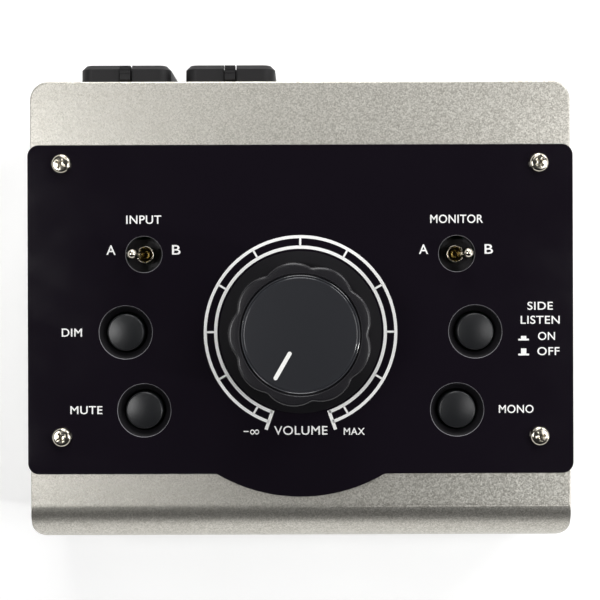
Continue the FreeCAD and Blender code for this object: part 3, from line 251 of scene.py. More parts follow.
holes += cutters(cap_places, cut_floor, cut_length, CAP_HOLE_R)
holes += cutters(bushing_places, cut_floor, cut_length, TOGGLE_COVER_HOLE_R)
rear_screw_low, rear_screw_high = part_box("rear_panel_screws")
rear_screw_places = [(x, z) for x in (rear_screw_low.x + SCREW_HEAD_R, rear_screw_high.x - SCREW_HEAD_R)
                     for z in (rear_screw_low.z + SCREW_HEAD_R, rear_screw_high.z - SCREW_HEAD_R)]
for x, z in rear_screw_places:
    holes.append(drum("hole", (x, cut_front, z), cut_length, SCREW_HOLE_R, along="Y"))
window_low = (case_low.x + WINDOW_SIDE_BORDER, cut_front, case_low.z + WINDOW_BOTTOM_BORDER)
window_high = (case_high.x - WINDOW_SIDE_BORDER, case_high.y + CUTTER_MARGIN,
               case_high.z - WINDOW_TOP_BORDER)
holes.append(block("window", window_low, window_high))
combine(cover, joined("holes", holes), "DIFFERENCE")
smooth(cover)


def colour(code):
    """A colour written as sRGB hex, as the linear values that a shader takes."""
    parts = [int(code[start:start + 2], 16) / 255 for start in (1, 3, 5)]
    return [part / 12.92 if part <= 0.04045 else ((part + 0.055) / 1.055) ** 2.4 for part in parts] + [1]


def new_material(name, base, roughness, metallic=0.0):
    """A material with its plain base values; returns it with its shader."""
    made = bpy.data.materials.new(name)
    made.use_nodes = True
    shader = made.node_tree.nodes["Principled BSDF"]
    shader.inputs["Base Color"].default_value = colour(base)
    shader.inputs["Roughness"].default_value = roughness
    shader.inputs["Metallic"].default_value = metallic
    return made, shader


def add_node(shader, kind, settings=None, links=None):
    """Add a node beside a shader, with its settings and its links."""
    tree = shader.id_data
    made = tree.nodes.new(kind)
    for key, value in (settings or {}).items():
        if isinstance(key, int) or key in made.inputs:
            made.inputs[key].default_value = value
        else:
            setattr(made, key, value)
    for key, source in (links or {}).items():
        tree.links.new(source, made.inputs[key])
    return made


def place_of(shader):
    """The place on the piece, in metres, that patterns are laid out on."""
    return add_node(shader, "ShaderNodeTexCoord").outputs["Object"]


def plug(shader, name, source):
    """Link a node's output to an input of the shader."""
    shader.id_data.links.new(source, shader.inputs[name])


def tinted(shader, pattern, darker, lighter):
    """Base colour that runs from one colour to another with a pattern from 0 to 1."""
    ends = {"Color1": colour(darker), "Color2": colour(lighter)}
    mix = add_node(shader, "ShaderNodeMixRGB", ends, {"Fac": pattern})
    plug(shader, "Base Color", mix.outputs["Color"])


def bumped(shader, pattern, depth):
    """Surface relief of a real depth from a pattern from 0 to 1."""
    bump = add_node(shader, "ShaderNodeBump", {"Strength": 1.0, "Distance": depth}, {"Height": pattern})
    plug(shader, "Normal", bump.outputs["Normal"])


def spread(shader, pattern, low, high, to_low=0.0, to_high=1.0):
    """Stretch part of a pattern's range over another range."""
    ends = {"From Min": low, "From Max": high, "To Min": to_low, "To Max": to_high}
    return add_node(shader, "ShaderNodeMapRange", ends, {"Value": pattern}).outputs["Result"]


def dress(piece, finish, body="case", nodes=()):
    """Give a new piece its finish, its body and the CAD nodes it stands for."""
    piece.data.materials.clear()
    piece.data.materials.append(finish)
    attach(piece, body)
    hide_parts(*nodes)


# Silver metallic lacquer: the binder is clear, so each flake shines by itself, tipped a little
# its own way. Real flakes are about 0.03 mm; they are drawn at 0.29 mm, as coarse as they need
# to be to show.
silver_lacquer, shader = new_material("silver_metallic_lacquer", "#C4C1B8", 0.4, 1.0)
cells = {"Scale": 1 / FLAKE_GRAIN, "Randomness": 1.0}
flake = add_node(shader, "ShaderNodeTexVoronoi", cells, {"Vector": place_of(shader)}).outputs["Color"]
glint = add_node(shader, "ShaderNodeSeparateColor", links={"Color": flake})
tinted(shader, glint.outputs["Red"], "#ABA89F", "#D9D6CE")
VECTOR = "ShaderNodeVectorMath"
lean = add_node(shader, VECTOR, {"operation": "SUBTRACT", 1: (0.5, 0.5, 0.5)}, {0: flake}).outputs[0]
lean = add_node(shader, VECTOR, {"operation": "SCALE", "Scale": FLAKE_TILT}, {0: lean}).outputs[0]
face_on = add_node(shader, "ShaderNodeNewGeometry").outputs["Normal"]
lean = add_node(shader, VECTOR, {"operation": "ADD"}, {0: lean, 1: face_on}).outputs[0]
lean = add_node(shader, VECTOR, {"operation": "NORMALIZE"}, {0: lean}).outputs[0]
plug(shader, "Normal", lean)
dress(cover, silver_lacquer, nodes=["top_cover"])

# ---- Boards and switches inside the case ---------------------------------------------------
# Two glass-epoxy boards under green solder mask, with tinned pins, metal film resistors,
# moulded switch housings and the two-gang potentiometer. They keep their shapes and get
# their real finishes: solder mask, tin, phenolic, spring steel and grey ribbon cable.
FIBRE_WEAVE = 0.8 * MM
MOULD_GRAIN = 0.25 * MM
ZINC_CLOUD = 1.5 * MM


def finish_nodes(finish, *names):
    """Give CAD nodes that keep their shapes their real finish."""
    for name in names:
        for material_slot in frame["nodes"][name].material_slots:
            material_slot.material = finish


def cloudy(shader, size, detail):
    """Soft irregular clouds of a real size, as a value from 0 to 1."""
    clouds = {"Scale": 1 / size, "Detail": detail, "Roughness": 0.6}
    return add_node(shader, "ShaderNodeTexNoise", clouds, {"Vector": place_of(shader)}).outputs["Fac"]


def speckled(name, darker, lighter, grain, roughness, metallic=0.0, depth=0.0, specular=0.5):
    """A moulded, plated or printed finish with fine clouds in its colour and its relief."""
    finish, made = new_material(name, darker, roughness, metallic)
    made.inputs["Specular IOR Level"].default_value = specular
    pattern = spread(made, cloudy(made, grain, 3.0), 0.3, 0.7)
    tinted(made, pattern, darker, lighter)
    if depth:
        bumped(made, pattern, depth)
    return finish


# Solder mask and lacquers shine a little over the weave of the glass cloth, bare metal parts are
# bright with a soft unevenness, and the moulded parts are plain and satin.
solder_mask = speckled("green_solder_mask", "#0E4A28", "#145A33", FIBRE_WEAVE, 0.3, depth=0.01 * MM)
resistor_lacquer = speckled("blue_resistor_lacquer", "#3F7296", "#5288AC", MOULD_GRAIN, 0.35,
                            depth=0.01 * MM)
tinned_brass = speckled("tinned_brass", "#B79A5A", "#CDB274", MOULD_GRAIN, 0.28, 1.0, 0.002 * MM)
phenolic_sheet = speckled("phenolic_sheet", "#4A2F1B", "#5A3A22", FIBRE_WEAVE, 0.5, depth=0.01 * MM)
white_acetal = speckled("white_acetal", "#DAD9D2", "#E6E5DF", MOULD_GRAIN, 0.4, depth=0.005 * MM)
zinc_plate = speckled("bright_zinc_plate", "#A9ACAD", "#C3C6C7", ZINC_CLOUD, 0.32, 1.0, 0.004 * MM)
spring_wire = speckled("spring_steel_wire", "#A6A6A4", "#BABAB8", MOULD_GRAIN, 0.25, 1.0, 0.002 * MM)
ribbon_vinyl = speckled("grey_ribbon_vinyl", "#8B8D90", "#989A9D", MOULD_GRAIN, 0.45, depth=0.01 * MM)
switch_nylon = speckled("black_switch_nylon", "#101011", "#18181A", MOULD_GRAIN, 0.38, depth=0.006 * MM)
finish_nodes(solder_mask, "control_board", "connector_board")
finish_nodes(resistor_lacquer, "pad_resistors")
finish_nodes(tinned_brass, "switch_terminals", "jack_terminals",
             "input_a_left_socket_contacts", "input_a_right_socket_contacts")
finish_nodes(phenolic_sheet, "pot_gangs")
finish_nodes(zinc_plate, "board_screws", "pot_bushing", "pot_shaft", "pot_washer", "pot_nut")
finish_nodes(ribbon_vinyl, "ribbon_cable")
finish_nodes(switch_nylon, "cable_plugs", *[toggle + "_housing" for toggle in TOGGLES])
for button in BUTTONS:
    finish_nodes(switch_nylon, button + "_switch_housing")
    finish_nodes(white_acetal, button + "_switch_plunger")
    finish_nodes(spring_wire, button + "_switch_spring")

# ---- Control panel -------------------------------------------------------------------------
# A plate of black acrylic, 2.5 mm thick, laser cut and polished, with a bulge in front of the
# knob that follows its centre. The button recesses are turned into it as cones.
BULGE = 6.25 * MM
PANEL_CORNER_R = 3.0 * MM
BULGE_JOINT = 0.8 * MM
NUT_HOLE_R = 10.0 * MM
TOGGLE_HOLE_R = 4.9 * MM
RECESS_FLOOR_R = 5.6 * MM
RECESS_TOP_R = 7.2 * MM
CUT_MARGIN = 0.5 * MM
HOLE_EDGE = 0.14 * MM
WIPE_CLOUD = 18.0 * MM
LEVEL_ENOUGH = 0.98
panel_low, panel_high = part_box("control_panel")
panel_front = panel_low.y + BULGE
bulge_r = knob_place.y - panel_low.y
panel = block("control_panel_plate", (panel_low.x, panel_front, panel_low.z), panel_high)
bevel_edges(panel, lambda a, b: abs(a.z - b.z) > MM, PANEL_CORNER_R, 12)
thickness = panel_high.z - panel_low.z
bulge_low = (knob_place.x, knob_place.y, panel_low.z)
combine(panel, drum("bulge", bulge_low, thickness, bulge_r, sides=360), "UNION")


def where_bulge_starts(a, b):
    return abs(a.z - b.z) > MM and abs(a.y - panel_front) < HAIR and abs(a.x) < bulge_r


bevel_edges(panel, where_bulge_starts, BULGE_JOINT, 6)
cut_floor = panel_low.z - CUT_MARGIN
cut_height = thickness + 2 * CUT_MARGIN
flare = (RECESS_TOP_R - RECESS_FLOOR_R) / thickness * CUT_MARGIN
holes = cutters([knob_place], cut_floor, cut_height, NUT_HOLE_R)
for x, y in panel_screw_places:
    holes.append(drum("hole", (x, y, cut_floor), cut_height, SCREW_HOLE_R))
holes += cutters(bushing_places, cut_floor, cut_height, TOGGLE_HOLE_R)
holes += cutters(cap_places, cut_floor, cut_height, RECESS_FLOOR_R - flare, RECESS_TOP_R + flare, 128)
combine(panel, joined("holes", holes), "DIFFERENCE")
# The edges of the toggle holes and the button recesses are broken with a 45 degree cutter.
edge_floor = panel_high.z - HOLE_EDGE
edge_height = HOLE_EDGE + CUT_MARGIN
edges = []
for places, hole_r in ((bushing_places, TOGGLE_HOLE_R), (cap_places, RECESS_TOP_R)):
    edge_r = hole_r - HAIR
    edges += cutters(places, edge_floor, edge_height, edge_r, edge_r + edge_height, 128)
combine(panel, joined("edges", edges), "DIFFERENCE")
smooth(panel)

# Polished black acrylic: a deep, even gloss that clouds very slightly where hands have wiped it.
# Where a cutter has broken an edge the acrylic is scraped matt, and it is painted a lighter grey there: a
# painted highlight for the thin bright outlines that these edges catch. The turned
#  wall of a hole stays black but has lost its gloss.
black_acrylic, shader = new_material("polished_black_acrylic", "#141017", 0.07)
shader.inputs["IOR"].default_value = 1.49
plug(shader, "Roughness", spread(shader, cloudy(shader, WIPE_CLOUD, 5.0), 0.3, 0.7, 0.05, 0.11))
dress(panel, black_acrylic, nodes=["control_panel"])
panel.data.materials.append(speckled("scraped_acrylic_painted_highlight", "#6E6D71", "#858488", MOULD_GRAIN, 0.5))
panel.data.materials.append(speckled("turned_acrylic", "#0F0E11", "#151417", MOULD_GRAIN, 0.45))
# Broken edges take the lighter grey of the painted highlight, the turned walls below them the dull black.
cut_places = [(place, TOGGLE_HOLE_R) for place in bushing_places]
cut_places += [(place, RECESS_TOP_R) for place in cap_places]
for face in panel.data.polygons:
    for place, hole_r in cut_places:
        reach = math.hypot(face.center.x - place.x, face.center.y - place.y)
        if reach < hole_r + HOLE_EDGE + HAIR and abs(face.normal.z) < LEVEL_ENOUGH:
            face.material_index = 1 if face.center.z > panel_high.z - HOLE_EDGE else 2

# ---- Printing on the panel -----------------------------------------------------------------
# White ink, screen printed: the scale round the knob, the names of the controls and the two
# small pictures of a pushed and a released button. It stands 0.03 mm on the acrylic.
INK = 0.03 * MM
SCALE_RINGS = ((22.57, 23.44), (25.42, 26.25))
SCALE_END = 160.4
SCALE_END_BAR = (22.6, 28.1, 0.9)
SCALE_STEP = 30.0
SCALE_TICK_WIDTH = 0.55
SCALE_TICKS = 5
TICK_LAP = 0.1
LETTER_BOLDNESS = 0.009
LETTER_SPACING = 1.06
INK_CLOUD = 0.4 * MM
ink_top = panel_high.z + INK
printed = []


def ink_bar(inner, outer, width, degrees):
    """Printed line that points away from the knob; the angle runs clockwise from the back."""
    turn = math.radians(degrees)
    middle = (inner + outer) / 2 * MM
    place = knob_place + Vector((middle * math.sin(turn), middle * math.cos(turn), 0))
    place.z = panel_high.z + INK / 2
    size = (width * MM, (outer - inner) * MM, INK)
    bpy.ops.mesh.primitive_cube_add(size=1, location=place, rotation=(0, 0, -turn), scale=size)
    printed.append(settle("line"))


def ink_ring(inner, outer):
    """Printed ring round the knob, open at the front."""
    middle = (knob_place.x, knob_place.y, panel_high.z)
    bpy.ops.mesh.primitive_circle_add(vertices=720, radius=outer * MM, location=middle)
    ring = settle("ring")
    pick(ring, "VERT", lambda place: True)
    bpy.ops.mesh.extrude_region_move()
    share = inner / outer
    bpy.ops.transform.resize(value=(share, share, 1), center_override=middle)
    half_gap = math.radians(180 - SCALE_END)

    def in_gap(centre, normal):
        across, along = centre.x - knob_place.x, centre.y - knob_place.y
        return along < 0 and abs(math.atan2(across, -along)) < half_gap

    pick(ring, "FACE", in_gap)
    bpy.ops.mesh.delete(type="FACE")
    bpy.ops.mesh.select_all(action="SELECT")
    bpy.ops.mesh.normals_make_consistent(inside=False)
    bpy.ops.mesh.extrude_region_move(TRANSFORM_OT_translate={"value": (0, 0, INK)})
    bpy.ops.object.mode_set(mode="OBJECT")
    printed.append(ring)


def lettering(words, width, height):
    """Printed word round the origin, fitted to its width and height; its back is at height 0."""
    bpy.ops.object.text_add()
    text = bpy.context.object
    text.data.body = words
    text.data.offset = LETTER_BOLDNESS if words.isascii() else 0
    text.data.space_character = LETTER_SPACING
    text.data.extrude = INK
    bpy.ops.object.convert(target="MESH")
    word = settle("word")
    low = Vector([min(vertex.co[axis] for vertex in word.data.vertices) for axis in range(3)])
    high = Vector([max(vertex.co[axis] for vertex in word.data.vertices) for axis in range(3)])
    size = high - low
    word.scale = (width * MM / size.x, height * MM / size.y, INK / size.z)
    middle = (low + high) / 2
    word.location = (-middle.x * word.scale.x, -middle.y * word.scale.y, -low.z * word.scale.z)
    return settle("word")


for ring in SCALE_RINGS:
    ink_ring(*ring)
tick_start, tick_end = SCALE_RINGS[0][1] - TICK_LAP, SCALE_RINGS[1][0] + TICK_LAP
for tick in range(-SCALE_TICKS, SCALE_TICKS + 1):
    ink_bar(tick_start, tick_end, SCALE_TICK_WIDTH, tick * SCALE_STEP)
for side in (-1, 1):
    ink_bar(*SCALE_END_BAR, side * SCALE_END)

# Each word: the control that it belongs to, its place from that control, its width and height.
WORDS = (
    ("INPUT", "input_toggle_bushing", 0.0, 9.4, 9.5, 2.3),
    ("A", "input_toggle_bushing", -8.9, 1.2, 2.5, 2.6),
    ("B", "input_toggle_bushing", 8.8, 1.2, 2.3, 2.6),
    ("MONITOR", "monitor_toggle_bushing", 0.0, 9.4, 14.3, 2.3),
    ("A", "monitor_toggle_bushing", -9.0, 1.2, 2.5, 2.6),
    ("B", "monitor_toggle_bushing", 8.7, 1.2, 2.3, 2.6),
    ("DIM", "dim_button_cap", -14.6, 0.0, 5.5, 2.2),
    ("MUTE", "mute_button_cap", -15.7, 0.1, 8.7, 2.2),
    ("MONO", "mono_button_cap", 16.0, 0.1, 9.4, 2.2),
    ("SIDE", "side_listen_button_cap", 17.6, 6.9, 6.9, 2.2),
    ("LISTEN", "side_listen_button_cap", 17.6, 3.1, 10.6, 2.2),
    ("ON", "side_listen_button_cap", 19.3, -1.3, 4.6, 2.2),
    ("OFF", "side_listen_button_cap", 19.8, -5.4, 6.0, 2.2),
    ("VOLUME", "knob_cap", 0.0, -26.7, 14.5, 2.4),
    ("MAX", "knob_cap", 14.5, -27.0, 5.7, 1.9),
    ("−∞", "knob_cap", -13.4, -27.1, 4.2, 1.4),
)
for words, control, across, along, width, height in WORDS:
    place = middle_of(control)
    word = lettering(words, width, height)
    word.location = (place.x + across * MM, place.y + along * MM, panel_high.z)
    printed.append(settle("word"))

# The two pictures: a housing line with a low plunger for on and a high one for off.
PICTURE_PLACE = 13.1 * MM
PICTURE_LINE = (2.9 * MM, 0.5 * MM)
PLUNGER_WIDTH = 1.45 * MM
PICTURES = ((-2.25 * MM, 0.75 * MM), (-6.3 * MM, 1.4 * MM))
place = middle_of("side_listen_button_cap")
line_width, line_height = PICTURE_LINE
for line_y, plunger_height in PICTURES:
    x, y = place.x + PICTURE_PLACE, place.y + line_y - line_height / 2
    for width, low, high in ((line_width, 0, line_height),
                             (PLUNGER_WIDTH, line_height, line_height + plunger_height)):
        corner = (x - width / 2, y + low, panel_high.z)
        printed.append(block("picture", corner, (x + width / 2, y + high, ink_top)))
printing = joined("panel_printing", printed)

# Screen-printing ink: matt and slightly uneven where the mesh of the screen laid it down.
white_ink = speckled("white_screen_ink", "#F0F0EE", "#F8F8F6", INK_CLOUD, 0.55)
dress(printing, white_ink)

# ---- Screws --------------------------------------------------------------------------------
# Cross-recess pan heads, cold headed and plated. Four hold the control panel, four the rear
# panel and four long ones the feet and the base plate.
CROWN_R = 1.0 * MM
HEAD_HEIGHT = 1.6 * MM
RECESS_SPAN = 2.7 * MM
RECESS_WIDTH = 0.75 * MM
RECESS_DEPTH = 0.95 * MM
RECESS_TAPER = 0.55
POINT_TAPER = 0.7
POINT_LENGTH = 0.3
DOME_SHARE = 0.3
DOME_RISE = 0.06 * MM
SCREW_EDGE = 0.05 * MM
PLATING_WAVE = 1.2 * MM


def turned(name, profile, sides=96):
    """A piece as from a lathe: a ring is carried along a profile of (radius, height)."""
    radius, height = profile[0]
    bpy.ops.mesh.primitive_circle_add(vertices=sides, radius=radius, location=(0, 0, height))
    piece = settle(name)
    pick(piece, "VERT", lambda place: True)
    for next_radius, next_height in profile[1:]:
        bpy.ops.mesh.extrude_region_move(TRANSFORM_OT_translate={"value": (0, 0, next_height - height)})
        share = next_radius / radius
        bpy.ops.transform.resize(value=(share, share, 1), center_override=(0, 0, 0))
        radius, height = next_radius, next_height
    bpy.ops.mesh.select_all(action="SELECT")
    bpy.ops.mesh.remove_doubles(threshold=HAIR / 10)
    bpy.ops.mesh.fill_holes(sides=0)
    bpy.ops.mesh.normals_make_consistent(inside=False)
    bpy.ops.object.mode_set(mode="OBJECT")
    return piece


def arc(radius, centre_r, centre_z, start, end, steps):
    """Points of a round corner on a profile; angles in degrees up from the radius."""
    points = []
    for step in range(steps + 1):
        angle = math.radians(start + (end - start) * step / steps)
        points.append((centre_r + radius * math.cos(angle), centre_z + radius * math.sin(angle)))
    return points


LAID = {"Z": (0, 0, 0), "Y": (-math.pi / 2, 0, 0), "down": (math.pi, 0, 0)}


def move_to(piece, name, place, along="Z", turn=0.0):
    """Turn a finished piece about its own axis, lay it along +Z, +Y or down and put it in place."""
    only(piece)
    piece.rotation_euler = (0, 0, turn)
    bpy.ops.object.transform_apply(location=True, rotation=True, scale=True)
    piece.rotation_euler = LAID[along]
    piece.location = place
    return settle(name)


def copy_to(piece, name, place, along="Z", turn=0.0):
    """A copy of a finished piece, with a mesh of its own."""
    only(piece)
    bpy.ops.object.duplicate()
    return move_to(bpy.context.object, name, place, along, turn)


def pan_head_screw(head_r, grip):
    """Screw on the Z axis with the seat of its head at 0."""
    profile = [(SCREW_R * POINT_TAPER, -grip), (SCREW_R, -grip + SCREW_R * POINT_LENGTH),
               (SCREW_R, 0), (head_r, 0)]
    profile += arc(CROWN_R, head_r - CROWN_R, HEAD_HEIGHT - CROWN_R, 0, 90, 8)
    profile.append((head_r * DOME_SHARE, HEAD_HEIGHT + DOME_RISE))
    screw = turned("screw", profile, 64)
    blades = []
    for span, width in ((RECESS_SPAN, RECESS_WIDTH), (RECESS_WIDTH, RECESS_SPAN)):
        low = Vector((-span / 2, -width / 2, HEAD_HEIGHT - RECESS_DEPTH))
        blade = block("blade", low, (span / 2, width / 2, HEAD_HEIGHT + MM))
        pick(blade, "FACE", lambda centre, normal: normal.z < -0.5)
        bpy.ops.transform.resize(value=(RECESS_TAPER, RECESS_TAPER, 1), center_override=(0, 0, 0))
        bpy.ops.object.mode_set(mode="OBJECT")
        blades.append(blade)
    for blade in blades:
        combine(screw, blade, "DIFFERENCE")
    soften(screw, SCREW_EDGE)
    return screw


# Bright nickel: a warm mirror that the plating bath has left very slightly wavy.
nickel_plate = speckled("bright_nickel_plate", "#C9C2B2", "#D9D3C6", PLATING_WAVE, 0.16, 1.0, 0.004 * MM)
screw = pan_head_screw(SCREW_HEAD_R, PANEL_SCREW_GRIP + thickness)
SCREW_TURNS = (0.5, 1.1, 0.2, 0.8)
heads = [copy_to(screw, "head", (x, y, panel_high.z), turn=turn)
         for (x, y), turn in zip(panel_screw_places, SCREW_TURNS)]
panel_screws = joined("panel_screw_set", heads)
dress(panel_screws, nickel_plate, nodes=["panel_screws"])

# ---- Push buttons --------------------------------------------------------------------------
# Round caps moulded in black ABS with a shallow dome and a fine spark-eroded skin, pressed on
# the stems of the switches.
CAP_R = 5.05 * MM
CAP_CROWN = 0.5 * MM
CAP_EDGE = 0.6 * MM
CAP_SOCKET_R = 2.1 * MM
CAP_SOCKET_DEPTH = 4.0 * MM
cap_low, cap_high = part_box("dim_button_cap")
cap_height = cap_high.z - cap_low.z
dome_r = (CAP_R ** 2 + CAP_CROWN ** 2) / (2 * CAP_CROWN)
edge_angle = math.degrees(math.acos((CAP_R - CAP_EDGE) / dome_r))
profile = [(0.1 * MM, CAP_SOCKET_DEPTH), (CAP_SOCKET_R, CAP_SOCKET_DEPTH), (CAP_SOCKET_R, 0),
           (CAP_R - CAP_EDGE, 0), (CAP_R, CAP_EDGE)]
dome = arc(dome_r, 0, cap_height - dome_r, edge_angle, 89.5, 16)
profile += arc(CAP_EDGE, CAP_R - CAP_EDGE, dome[0][1] - CAP_EDGE, 0, edge_angle, 4)
profile += dome
cap = turned("cap", profile, 96)
smooth(cap)
# Spark-eroded ABS: nearly black, with a soft satin highlight over its fine grain.
moulded_abs = speckled("black_moulded_abs", "#17181A", "#1D1E20", MOULD_GRAIN, 0.3,
                       depth=0.004 * MM, specular=0.35)
for button, place in zip(BUTTONS, cap_places):
    place = Vector((place.x, place.y, cap_low.z))
    piece = copy_to(cap, button + "_cap", place)
    dress(piece, moulded_abs, button + "_button", [button + "_button_cap"])

# ---- Toggle switches -----------------------------------------------------------------------
# Subminiature toggles: a threaded nickel-plated bushing with bare brass inside, on a blackened
# steel bracket, and a nickel-plated bat lever that tips on its ball.
BUSHING_R = 2.4 * MM
BUSHING_WAIST = 1.35 * MM
BUSHING_FOOT = 1.97 * MM
BUSHING_MOUTH = 2.06 * MM
BRACKET = (11.4 * MM, 9.0 * MM, 0.6 * MM)
THREAD_PITCH = 0.5 * MM
THREAD_DEPTH = 0.14 * MM
THREAD_TURNS = 9
BUSHING_EDGE = 0.04 * MM
BRASS_CLOUD = 0.6 * MM
BALL_R = 1.3 * MM
TAIL_R = 0.45 * MM
TAIL_LENGTH = 7.8 * MM
LEVER_LENGTH = 12.9 * MM
LEVER_ROOT_R = 0.7 * MM
LEVER_TIP_R = 1.4 * MM
LEVER_LEAN = 13.0
bushing_low, bushing_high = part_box("input_toggle_bushing")
throws = {joint["name"]: joint for joint in frame["record"]["behaviour"]["joints"]}
pivot_z = throws["input_toggle_throw"]["pos_m"][2]
neck_top = bushing_high.z - bushing_low.z
waist_height = pivot_z - bushing_low.z
profile = [(BUSHING_R, BRACKET[2] / 2)]
thread_start = neck_top - THREAD_TURNS * THREAD_PITCH - THREAD_PITCH / 2
for turn in range(THREAD_TURNS):
    height = thread_start + turn * THREAD_PITCH
    profile += [(BUSHING_R, height), (BUSHING_R - THREAD_DEPTH, height + THREAD_PITCH / 2)]
rim_r = (BUSHING_R - BUSHING_MOUTH) / 2
profile += arc(rim_r, BUSHING_R - rim_r, neck_top - rim_r, 0, 90, 5) + [(BUSHING_MOUTH - HAIR, neck_top)]
neck = turned("neck", profile, 64)
bracket_high = Vector((BRACKET[0] / 2, BRACKET[1] / 2, BRACKET[2]))
bracket = block("bracket", (-bracket_high.x, -bracket_high.y, 0), bracket_high)
combine(bracket, neck, "UNION")
bore = turned("bore", [(BUSHING_FOOT + HAIR, -HAIR * 5), (BUSHING_FOOT, 0), (BUSHING_WAIST, waist_height),
                       (BUSHING_MOUTH, neck_top), (BUSHING_MOUTH + HAIR, neck_top + HAIR * 5)], 64)
combine(bracket, bore, "DIFFERENCE")
soften(bracket, BUSHING_EDGE)
# Blackened steel has a dull grey oxide skin, and bare brass is yellow with a worn shine.
blackened_steel = speckled("blackened_steel", "#4E4C50", "#5C5A5E", MOULD_GRAIN, 0.45, depth=0.004 * MM)
bare_brass = speckled("bare_brass", "#B8A768", "#CABB80", BRASS_CLOUD, 0.24, 1.0, 0.004 * MM)


def lever_profile():
    """Tail, ball, tapered bat and round tip, with the pivot at height 0."""
    straight = LEVER_LENGTH - LEVER_TIP_R
    neck_r = LEVER_ROOT_R + (LEVER_TIP_R - LEVER_ROOT_R) * BALL_R / straight
    foot_angle = math.degrees(math.asin(TAIL_R / BALL_R)) - 90
    neck_angle = math.degrees(math.acos(neck_r / BALL_R))
    points = [(TAIL_R * 0.3, -TAIL_LENGTH), (TAIL_R, -TAIL_LENGTH + TAIL_R * 0.5)]
    points += arc(BALL_R, 0, 0, foot_angle, neck_angle, 12)
    points.append((LEVER_TIP_R, straight))
    return points + arc(LEVER_TIP_R, 0, straight, 8, 86, 10)


lever = turned("lever", lever_profile(), 64)
smooth(lever)
for toggle, place in zip(TOGGLES, bushing_places):
    throw = throws[toggle + "_throw"]
    lean = LEVER_LEAN if throw["range_deg"][0] < 0 else -LEVER_LEAN
    piece = copy_to(bracket, toggle + "_neck", (place.x, place.y, bushing_low.z))
    dress(piece, nickel_plate, nodes=[toggle + "_bushing"])
    piece.data.materials.append(blackened_steel)
    piece.data.materials.append(bare_brass)
    for face in piece.data.polygons:
        offset = face.center - Vector((place.x, place.y, 0))
        reach = math.hypot(offset.x, offset.y)
        inward = face.normal.x * offset.x + face.normal.y * offset.y < -0.1 * reach
        if face.center.z < bushing_low.z + BRACKET[2] + HAIR:
            face.material_index = 1
        elif inward and reach < BUSHING_MOUTH + HAIR:
            face.material_index = 2
    only(lever)
    bpy.ops.object.duplicate()
    bat = bpy.context.object
    bat.rotation_euler = (0, math.radians(lean), 0)
    bat.location = throw["pos_m"]
    bat = settle(toggle + "_bat_lever")
    dress(bat, nickel_plate, toggle + "_bat", [toggle + "_lever"])

# ---- Volume knob ---------------------------------------------------------------------------
# Moulded in black ABS: nine broad lobes with narrow valleys on a round skirt, a seat for the
# cap on top and a hub for the shaft below. The cap is a satin disc with a white pointer.
LOBES = 9
LOBE_TIP_R = 18.6 * MM
LOBE_R = 8.5 * MM
VALLEY_R = 2.0 * MM
FIRST_VALLEY = 240.0
FOOT_GROWTH = 0.35 * MM
TOP_BEVEL = 0.7 * MM
BEVEL_STEPS = 6
GRIP_MARK = 18.0 * MM
SKIRT_R = 21.9 * MM
SKIRT_BEVEL = 0.2 * MM
SKIRT_EDGE = 1.2 * MM
SKIRT_SLOPE = 1.0 * MM
LEDGE_R = 19.0 * MM
KNOB_HOLLOW_R = 14.4 * MM
HUB_R = 5.6 * MM
SHAFT_R = 3.05 * MM
CAP_DISC_R = 15.3 * MM
CAP_GROOVE = 0.3 * MM
CAP_THICKNESS = 1.2 * MM
CAP_BEVEL = 0.3 * MM
CAP_RIM = ((15.3, 0.3), (15.22, 0.09), (15.1, 0.02), (14.95, 0.12), (14.8, 0.35),
           (14.62, 0.12), (14.35, 0.0))
ROOF_THICKNESS = 1.6 * MM
HUB_RAISE = 3.3 * MM
SHAFT_TOP = 15.1 * MM
POINTER_REACH = (5.1 * MM, 13.35 * MM)
POINTER_WIDTH = 1.05 * MM
POINTER_DEPTH = 0.4 * MM
POINTER_PROUD = 0.02 * MM
knob_low, knob_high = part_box("knob_body")
knob_height = knob_high.z - knob_low.z


def lobed_radius(angle, growth):
    """Distance from the knob's axis to its grip, which is lobes and valleys of round arcs."""
    half_step = math.pi / LOBES
    from_lobe = (angle - math.radians(FIRST_VALLEY)) % (2 * half_step) - half_step
    from_valley = half_step - abs(from_lobe)
    lobe_centre = LOBE_TIP_R - LOBE_R
    reach = LOBE_R + VALLEY_R
    lobe_aside = lobe_centre * math.sin(half_step)
    valley_centre = lobe_centre * math.cos(half_step) + math.sqrt(reach ** 2 - lobe_aside ** 2)
    lobe_r, valley_r = LOBE_R + growth, VALLEY_R - growth
    touch = lobe_r / reach
    touch_x = lobe_centre + (valley_centre * math.cos(half_step) - lobe_centre) * touch
    touch_y = valley_centre * math.sin(half_step) * touch
    if abs(from_lobe) < math.atan2(touch_y, touch_x):
        aside = lobe_centre * math.sin(from_lobe)
        return lobe_centre * math.cos(from_lobe) + math.sqrt(lobe_r ** 2 - aside ** 2)
    aside = valley_centre * math.sin(from_valley)
    return valley_centre * math.cos(from_valley) - math.sqrt(max(0, valley_r ** 2 - aside ** 2))


